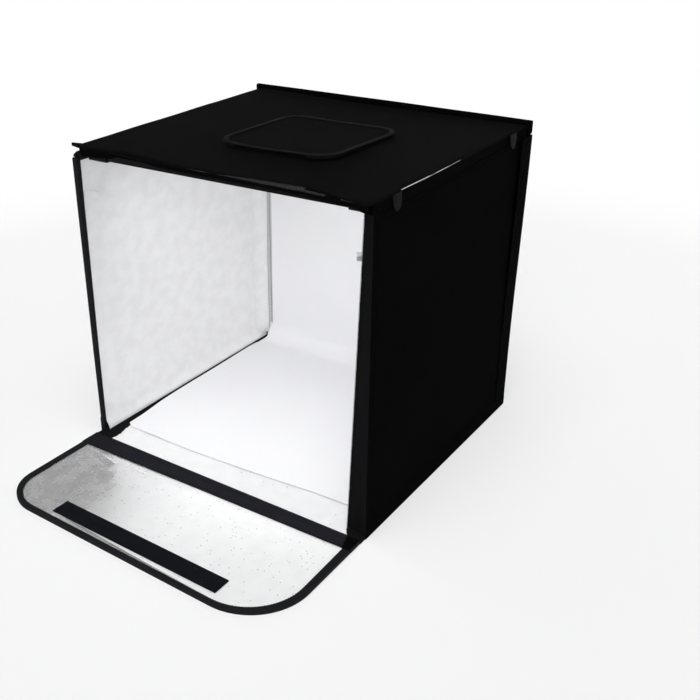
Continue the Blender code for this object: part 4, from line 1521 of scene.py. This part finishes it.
def rear_bar():
    """Cloth-covered bar along the lid's rear edge. It stands proud and runs past both sides."""
    start, end = low("lid_rear_bar"), high("lid_rear_bar")
    x = np.linspace(start[0] + 0.0016, end[0] + 0.0012, 90)
    top = read_off(x, bar_top)
    foot = start[2] + 0 * x
    foot = foot + (0.3812 - foot) * (1 - smooth(x, -0.2008, -0.1975))
    foot = foot + (0.3674 - foot) * smooth(x, 0.1940, 0.1960)
    across, tall = boxed(24, 0.45, 0.35)
    y = (start[1] + end[1]) / 2 + across * (end[1] - start[1]) / 2
    rings = [stack(a, y, (b + c) / 2 + tall * (b - c) / 2) for a, b, c in zip(x, top, foot)]
    made = loft("lid_rear_cloth_bar", rings, finish("wall cloth"))
    put(made, "lid", "black_tape", "lid_rear_bar")


def lid_rails():
    for side in ("left", "right"):
        node = "lid_rail_" + side
        start, end = low(node), high(node)
        y = np.linspace(start[1], end[1], 80)
        across, tall = boxed(16, 0.5, 0.5)
        across, tall = across * (end[0] - start[0]) / 2, tall * (end[2] - start[2]) / 2
        if side == "left":
            tall = np.minimum(tall, 0.0010 + 0.75 * across)
        rings = [stack((start[0] + end[0]) / 2 + across, at, (start[2] + end[2]) / 2 + tall) for at in y]
        made = loft("lid_side_roll_" + side, rings, finish("binding"))
        put(made, "lid", "black_tape", node)
    # A foil strip at the lid's right edge whose width follows the glint: the lining's edge with a painted
    # highlight
    y = np.linspace(-0.1328, -0.010, 420)[None, :]
    share = np.linspace(0, 1, 5)[:, None]
    thick = 0.0007 * np.clip(read_off(y, glint_pairs) * (0.75 + 0.45 * ripple(y, y, 0.0042, 121)), 0.03, 1)
    grid = stack(0.2012 + lid_bow(y), y, 0.3790 + thick * (share - 0.5))
    made = slab("lid_right_lining_edge_glint", grid, 0.0004, finish("foil"))
    put(made, "lid", "silver_lining")


def port_rim():
    hole = port_hole()
    faces = even(-port_tape)
    made = folded_tape(
        "port_rim_tape", hole, (port_round,) * 4, faces, faces, (-0.0001, lid_top - lid_low), place_lid,
        finish("binding"), steps=24, outward=-1,
    )
    put(made, "lid", "black_tape", "port_rim_binding")
    rings, uvs = [], []
    start, width = port_ring_start, port_ring_width
    for share, w in (
        (0, 0.0001), (0, -0.0003), (0.03, -0.0005), (0.5, -0.0005), (0.97, -0.0005), (1, -0.0003),
        (1, 0.0001),
    ):
        points = outline(hole, (port_round,) * 4, even(-start - width * share), 24)
        rings.append(place_lid(points[:, 0], points[:, 1], w))
        uvs.append(points)
    rings, uvs = np.stack(rings, axis=1), np.stack(uvs, axis=1)
    made = loft("port_hook_ring", rings, finish("hook tape"), closed=True, uvs=uvs)
    put(made, "lid", "hook_tape", "port_hook_tape")


# Port cover

cover_slack = (0.0018, 0.0006)
cover_round = 0.029
cover_tape_width = 0.0072


def cover_lift(u, v):
    """How far the loose port cover stands up: most at its front right corner."""
    start, end = low("port_cover_binding"), high("port_cover_binding")
    across = (u - start[0]) / (end[0] - start[0])
    front = (end[1] - v) / (end[1] - start[1])
    corner, edge = cover_slack
    raised = edge * smooth(front, 0.1, 1.0) + corner * smooth(across, 0.25, 1.0) * smooth(front, 0.15, 0.9)
    raised = raised + 0.0013 * (1 - smooth(across, 0.0, 0.5))
    return raised - 0.0008 * np.sin(np.clip(across, 0, 1) * pi) * np.sin(np.clip(front, 0, 1) * pi)


def port_cover():
    start, end = low("port_cover_binding"), high("port_cover_binding")
    rect = (start[0], end[0], start[1], end[1])
    radii = (cover_round * 1.12, cover_round, cover_round, cover_round * 0.95)
    depth = (0.0005, cover_top - cover_low - 0.0008)
    made = plate(
        "port_cover_cloth_top", rect, radii, depth, place_cover, finish("lid cloth"), loops=26,
        steps=24, edge=0.0008,
    )
    put(made, "port_cover", "black_cloth", "port_cover_cloth", "port_cover_backing")
    faces = even(cover_tape_width)
    made = folded_tape(
        "port_cover_tape", rect, radii, faces, faces, (0.0002, cover_top - cover_low), place_cover,
        finish("cover tape"), steps=24, arcs=12,
    )
    put(made, "port_cover", "black_tape", "port_cover_binding")
    made = edge_stitches(
        "port_cover_stitches", rect, radii, faces, 0.0001, place_cover, finish("thread"), steps=24,
        arcs=12, lift=-1, reach=0.5,
    )
    put(made, "port_cover", "black_tape")


def lid_tab(side, end):
    """A leaf of doubled cloth that hangs over the wall. The left ones hang from a strap."""
    node = "lid_tab_" + side + "_" + end
    start, corner = low(node), high(node)
    sign = 1 if side == "right" else -1
    middle = (start[1] + corner[1]) / 2
    half = (corner[1] - start[1]) / 2 - 0.0006
    foot = start[2] + 0.0032
    head = corner[2] + 0.0004 * (end == "rear") if side == "right" else 0.3764
    drop = np.linspace(0, 1, 26)[:, None]
    share = np.linspace(-1, 1, 15)[None, :]
    width = half * np.sqrt(np.clip(1 - np.clip((drop - 0.22) / 0.78, 0, 1) ** 2.2, 0.0004, 1))
    y = middle + share * width
    z = head - (head - foot) * drop
    out = max(abs(start[0]), abs(corner[0])) - 0.0001 + 0.0007 * np.sin(drop * pi * 0.8) ** 2
    out = out + 0.0003 * (1 - share ** 2) + 0.0006 * smooth(drop, 0.7, 1.0)
    made = slab(
        "lid_leaf_" + side + "_" + end, stack(sign * out, y, z), leaf_thickness,
        finish("leaf cloth"), side=sign, sharp=80,
    )
    put(made, "tab_" + side + "_" + end, "black_tape", node)
    if side == "left":
        share = np.linspace(0, 1, 12)[:, None]
        y = middle + (half - 0.0008) * np.linspace(-1, 1, 8)[None, :]
        x = -0.1872 - 0.0128 * share - lid_left_drift * (middle + 0.18) / 0.35 * (1 - share)
        z = 0.3788 - 0.0024 * share + 0.0003 * np.sin(share * pi)
        made = slab("lid_strap_left_" + end, stack(x, y, z), 0.0008, finish("leaf cloth"), side=1)
        put(made, "lid", "black_tape")


# Light bar

def soften(node, width, segments=3):
    """Eased edges on a hard part of the frame."""
    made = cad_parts[node]
    bevel = made.modifiers.new("eased edges", "BEVEL")
    bevel.width = width
    bevel.segments = segments
    bevel.limit_method = "ANGLE"
    bevel.harden_normals = False
    made.data.shade_smooth()
    made.data.set_sharp_from_angle(angle=radians(40))


def carry_over(node, name):
    """A part of the frame keeps its shape and gets its own finish."""
    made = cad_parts[node]
    for place_of in made.material_slots:
        place_of.material = finish(name)
    if not made.material_slots:
        made.data.materials.append(finish(name))


def light_bar():
    for node in ("light_housing", "light_cap_left", "light_cap_right"):
        carry_over(node, "black plastic")
    for node in ("light_cap_left", "light_cap_right"):
        soften(node, 0.0006)
    soften("light_housing", 0.0003, 2)
    carry_over("light_board", "light plate")
    carry_over("light_strip", "light chips")
    carry_over("light_diffuser", "diffuser")
    carry_over("light_power_inlet", "inlet metal")


def hidden_boards():
    for node in ("bottom_board", "right_wall_board", "back_wall_board", "spine_board"):
        carry_over(node, "board")


# Stage

def ground_finish(colour):
    made, tree, shader, where = new_finish("studio floor", 0.9, specular=0.1, on_frame=True)
    grain = effect(tree, "Grain", where, Grains_per_metre=300.0)
    tone = mixed(tree, grain["Scuffs"], times(colour, 0.995), times(colour, 1.0))
    tree.links.new(tone, shader.inputs["Base Color"])
    bump(tree, shader, grain["Height"], 0.00002, 0.2)
    rays = tree.nodes.new("ShaderNodeLightPath")
    seen = rays.outputs["Is Camera Ray"]
    length = tree.nodes.new("ShaderNodeVectorMath")
    length.operation = "LENGTH"
    tree.links.new(where, length.inputs[0])
    far = ramp(tree, length.outputs["Value"], 0.55, 1.3)
    glow = tree.nodes.new("ShaderNodeEmission")
    glow.inputs["Strength"].default_value = 1.0
    blend = tree.nodes.new("ShaderNodeMixShader")
    tree.links.new(math(tree, "MULTIPLY", seen, math(tree, "MAXIMUM", far, 0.5)), blend.inputs[0])
    tree.links.new(shader.outputs[0], blend.inputs[1])
    tree.links.new(glow.outputs[0], blend.inputs[2])
    tree.links.new(blend.outputs[0], tree.nodes["Material Output"].inputs["Surface"])
    return made


def studio_floor():
    """A round pale floor that curves up to a low wall."""
    colours = bpy.context.scene.light_tent_colours
    run = np.concatenate([[0.01, 0.3, 0.8, 1.5], np.linspace(2.2, 3.2, 12)])
    rise = 1.1 * smooth(run, 2.2, 3.25) ** 1.3
    turn = np.linspace(0, 2 * pi, 97)[:-1]
    face = [stack(r * np.cos(turn), r * np.sin(turn), h) for r, h in zip(run, rise)]
    under = [stack(r * np.cos(turn), r * np.sin(turn), h - 0.02) for r, h in zip(run, rise)]
    made = loft("studio_floor", face + under[::-1], ground_finish(colours.floor))


def sun(name, strength, azimuth, elevation, spread):
    light = bpy.data.lights.new(name, "SUN")
    light.energy = strength
    light.angle = radians(spread)
    back = away(radians(azimuth), radians(elevation))
    into_scene(name, light).matrix_world = facing(back, 0.0, back * 3)


def away(azimuth, elevation):
    """The direction from the tent towards a camera or lamp."""
    return np.array([sin(azimuth) * cos(elevation), -cos(azimuth) * cos(elevation), sin(elevation)])


def facing(back, roll, position):
    """A camera or lamp matrix that looks away from back, turned by roll about its own axis."""
    across = unit(np.cross(-back, (0, 0, 1.0)))
    up = np.cross(across, -back)
    x = cos(roll) * across + sin(roll) * up
    y = -sin(roll) * across + cos(roll) * up
    made = Matrix.Identity(4)
    for row in range(3):
        made[row][0], made[row][1], made[row][2], made[row][3] = x[row], y[row], back[row], position[row]
    return made


def bar_light(power):
    """The light that the bar throws down into the tent."""
    light = bpy.data.lights.new("bar light", "AREA")
    light.shape = "RECTANGLE"
    light.size = 0.25
    light.size_y = 0.012
    light.energy = power
    light.spread = radians(122)
    back = unit(np.array([0.0, -0.90, 1.0]))
    position = (0.013, -0.1690, low("light_housing")[2] - 0.0015)
    into_scene("bar light", light).matrix_world = facing(back, 0.0, position)


def camera():
    """The photograph's view."""
    data = bpy.data.cameras.new("camera")
    data.lens = 48.594
    data.sensor_width = 36.0
    data.shift_x = 0.12099
    data.clip_start = 0.05
    data.clip_end = 50.0
    made = into_scene("camera", data)
    roll, position = -0.02855, (0.61636, -0.89998, 0.64077)
    made.matrix_world = facing(away(0.64847, 0.45880), roll, position)
    bpy.context.scene.camera = made


def lights():
    level = bpy.context.scene.light_tent_lights
    world = bpy.data.worlds.new("studio")
    world.use_nodes = True
    tree = world.node_tree
    room = tree.nodes["Background"]
    seen = tree.nodes.new("ShaderNodeBackground")
    for background, strength in ((room, level.room), (seen, 1.0)):
        background.inputs["Color"].default_value = (1.0, 1.0, 1.0, 1.0)
        background.inputs["Strength"].default_value = strength
    blend = tree.nodes.new("ShaderNodeMixShader")
    tree.links.new(tree.nodes.new("ShaderNodeLightPath").outputs["Is Camera Ray"], blend.inputs[0])
    tree.links.new(room.outputs[0], blend.inputs[1])
    tree.links.new(seen.outputs[0], blend.inputs[2])
    tree.links.new(blend.outputs[0], tree.nodes["World Output"].inputs["Surface"])
    bpy.context.scene.world = world
    sun("top light", level.top, 20, 72, 50)
    sun("front light", level.front, 25, 21, 50)
    bar_light(level.bar)
    bpy.context.scene.view_settings.view_transform = "Standard"


# Add-on

def length_of(name, description, default):
    return bpy.props.FloatProperty(
        name=name, description=description, default=default, min=0.0, unit="LENGTH", precision=5
    )


def colour_of(name, description, default):
    return bpy.props.FloatVectorProperty(
        name=name, description=description, default=default, min=0.0, max=1.0, subtype="COLOR"
    )


def strength_of(name, description, default, unit="NONE"):
    return bpy.props.FloatProperty(name=name, description=description, default=default, min=0.0, unit=unit)


class LightTentSizes(bpy.types.PropertyGroup):
    stitch_pitch: length_of("Stitch pitch", "Length of one full zigzag stitch", 0.0032)
    cloth_waviness: length_of("Cloth waviness", "How far the black cloth swells off its board", 0.0003)
    lining_waviness: length_of("Lining waviness", "How far the silver lining swells off its board", 0.0002)
    sheet_waviness: length_of("Sheet waviness", "How far the backdrop sheet swells", 0.0010)


class LightTentColours(bpy.types.PropertyGroup):
    lid_cloth: colour_of("Lid cloth", "Black cloth on top", (0.0036, 0.0037, 0.0037))
    # Darker than the lid cloth for the same black cloth: painted shade for the less lit walls
    wall_cloth: colour_of("Wall cloth", "Black cloth on the walls", (0.0026, 0.0026, 0.0027))
    binding: colour_of("Binding", "Folded tape round the panels", (0.0050, 0.0049, 0.0056))
    hinge_band: colour_of("Hinge band", "Webbing over the folds in front", (0.0100, 0.0101, 0.0146))
    hook_tape: colour_of("Hook tape", "Hook and loop tape", (0.0090, 0.0100, 0.0135))
    band_tape: colour_of("Band tape", "Folded tape round the flap", (0.0100, 0.0100, 0.0120))
    seam_thread: colour_of("Seam thread", "Stitches in the rear corners", (0.12, 0.12, 0.13))
    # Painted shade: grey for the right white tab, whose face is in shade
    painted_shade_tab: colour_of("Grey tab", "Small tab inside the right wall", (0.42, 0.42, 0.42))
    # Lighter than the cloth round it: a painted sheen on the hem's crescent
    front_hem: colour_of("Front hem", "Smoother cloth of the lid's front hem", (0.0060, 0.0054, 0.0062))
    cover_tape: colour_of("Cover tape", "Tape round the port cover", (0.0052, 0.0053, 0.0053))
    leaf_cloth: colour_of("Leaf cloth", "The lid's fastening tabs", (0.0034, 0.0034, 0.0036))
    foil: colour_of("Foil", "Silver lining", (0.985, 0.986, 0.990))
    # Grey in place of the silver lining in shade: painted shade
    shaded_seam_tape: colour_of("Seam tape", "Grey tape in the rear corners", (0.56, 0.56, 0.57))
    backdrop: colour_of("Backdrop", "White backdrop sheet", (0.88, 0.88, 0.90))
    white_tab: colour_of("White tabs", "Small tabs inside the side walls", (0.90, 0.90, 0.90))
    board: colour_of("Board", "Stiffening boards", (0.30, 0.29, 0.27))
    plastic: colour_of("Plastic", "Light bar", (0.0028, 0.0024, 0.0031))
    floor: colour_of("Floor", "Studio floor", (0.96, 0.96, 0.96))


class LightTentLights(bpy.types.PropertyGroup):
    room: strength_of("Room", "Even light from all round", 0.13)
    top: strength_of("Top light", "Soft light from above", 1.95)
    front: strength_of("Front light", "Soft light from the front", 1.20)
    bar: strength_of("Bar light", "Light of the bar under the lid", 0.40, "POWER")


class Dressing:
    """A step of the work: it makes its pieces in order, each by a function and what that is given."""

    def execute(self, context):
        for make, *given in self.pieces:
            make(*given)
        return {"FINISHED"}


class LIGHTTENT_OT_side_walls(Dressing, bpy.types.Operator):
    """Dress both side walls in cloth, lining, binding and stitches"""

    bl_idname = "light_tent.side_walls"
    bl_label = "Side walls"
    pieces = ((side_wall, "left"), (left_stiffener,), (side_wall, "right"), (right_gusset,))


class LIGHTTENT_OT_wall_tabs(Dressing, bpy.types.Operator):
    """Add the white tabs inside the side walls"""

    bl_idname = "light_tent.wall_tabs"
    bl_label = "White wall tabs"
    pieces = ((left_tab,), (right_tab,))


class LIGHTTENT_OT_back_wall(Dressing, bpy.types.Operator):
    """Dress the back wall and its fastening strips"""

    bl_idname = "light_tent.back_wall"
    bl_label = "Back wall"
    pieces = ((back_wall,),)


class LIGHTTENT_OT_corner_flaps(Dressing, bpy.types.Operator):
    """Add the soft flaps at the rear corners"""

    bl_idname = "light_tent.corner_flaps"
    bl_label = "Rear corner flaps"
    pieces = ((corner_flap, "left"), (corner_flap, "right"))


class LIGHTTENT_OT_floor(Dressing, bpy.types.Operator):
    """Dress the floor panel"""

    bl_idname = "light_tent.floor_panel"
    bl_label = "Floor panel"
    pieces = ((floor_panel,),)


class LIGHTTENT_OT_backdrop(Dressing, bpy.types.Operator):
    """Hang the white backdrop sheet"""

    bl_idname = "light_tent.backdrop"
    bl_label = "Backdrop"
    pieces = ((backdrop,),)


class LIGHTTENT_OT_hinge_band(Dressing, bpy.types.Operator):
    """Add the webbing over the folds in front"""

    bl_idname = "light_tent.hinge_band"
    bl_label = "Hinge band"
    pieces = ((hinge_band,), (spine,))


class LIGHTTENT_OT_flap(Dressing, bpy.types.Operator):
    """Dress the closing flap"""

    bl_idname = "light_tent.flap"
    bl_label = "Closing flap"
    pieces = ((flap,),)


class LIGHTTENT_OT_lid(Dressing, bpy.types.Operator):
    """Dress the lid, its front hem, rear bar, side rolls and port rim"""

    bl_idname = "light_tent.lid"
    bl_label = "Lid"
    pieces = (
        (lid_cloth,),
        (front_hem,),
        (front_wing,),
        (corner_folds,),
        (rear_bar,),
        (lid_rails,),
        (port_rim,),
    )


class LIGHTTENT_OT_port_cover(Dressing, bpy.types.Operator):
    """Add the soft cover of the camera port"""

    bl_idname = "light_tent.port_cover"
    bl_label = "Port cover"
    pieces = ((port_cover,),)


class LIGHTTENT_OT_lid_tabs(Dressing, bpy.types.Operator):
    """Add the four leaf tabs of the lid"""

    bl_idname = "light_tent.lid_tabs"
    bl_label = "Lid tabs"
    pieces = (
        (lid_tab, "left", "front"),
        (lid_tab, "left", "rear"),
        (lid_tab, "right", "front"),
        (lid_tab, "right", "rear"),
    )


class LIGHTTENT_OT_light_bar(Dressing, bpy.types.Operator):
    """Finish the light bar and the hidden boards"""

    bl_idname = "light_tent.light_bar"
    bl_label = "Light bar and boards"
    pieces = ((light_bar,), (hidden_boards,))


class LIGHTTENT_OT_stage(Dressing, bpy.types.Operator):
    """Set up the floor, the lights and the camera"""

    bl_idname = "light_tent.stage"
    bl_label = "Stage"
    pieces = ((camera,), (lights,), (studio_floor,))


operators = (
    LIGHTTENT_OT_stage,
    LIGHTTENT_OT_side_walls,
    LIGHTTENT_OT_wall_tabs,
    LIGHTTENT_OT_back_wall,
    LIGHTTENT_OT_corner_flaps,
    LIGHTTENT_OT_floor,
    LIGHTTENT_OT_backdrop,
    LIGHTTENT_OT_hinge_band,
    LIGHTTENT_OT_flap,
    LIGHTTENT_OT_lid,
    LIGHTTENT_OT_port_cover,
    LIGHTTENT_OT_lid_tabs,
    LIGHTTENT_OT_light_bar,
)
groups = {
    "light_tent_sizes": LightTentSizes,
    "light_tent_colours": LightTentColours,
    "light_tent_lights": LightTentLights,
}


class LIGHTTENT_PT_panel(bpy.types.Panel):
    """Sizes, colours and pieces of the light tent"""

    bl_idname = "LIGHTTENT_PT_panel"
    bl_label = "Light tent"
    bl_space_type = "VIEW_3D"
    bl_region_type = "UI"
    bl_category = "Light tent"

    def draw(self, context):
        for name in groups:
            box = self.layout.box()
            values = getattr(context.scene, name)
            for prop in values.bl_rna.properties:
                if prop.identifier not in {"rna_type", "name"}:
                    box.prop(values, prop.identifier)
        for operator in operators:
            self.layout.operator(operator.bl_idname)


def register():
    for made in (*groups.values(), *operators, LIGHTTENT_PT_panel):
        bpy.utils.register_class(made)
    for name, made in groups.items():
        setattr(bpy.types.Scene, name, bpy.props.PointerProperty(type=made))


def unregister():
    for name in groups:
        delattr(bpy.types.Scene, name)
    for made in reversed((*groups.values(), *operators, LIGHTTENT_PT_panel)):
        bpy.utils.unregister_class(made)


def main():
    register()
    for operator in operators:
        group, name = operator.bl_idname.split(".")
        getattr(getattr(bpy.ops, group), name)()


if __name__ == "__main__":
    main()
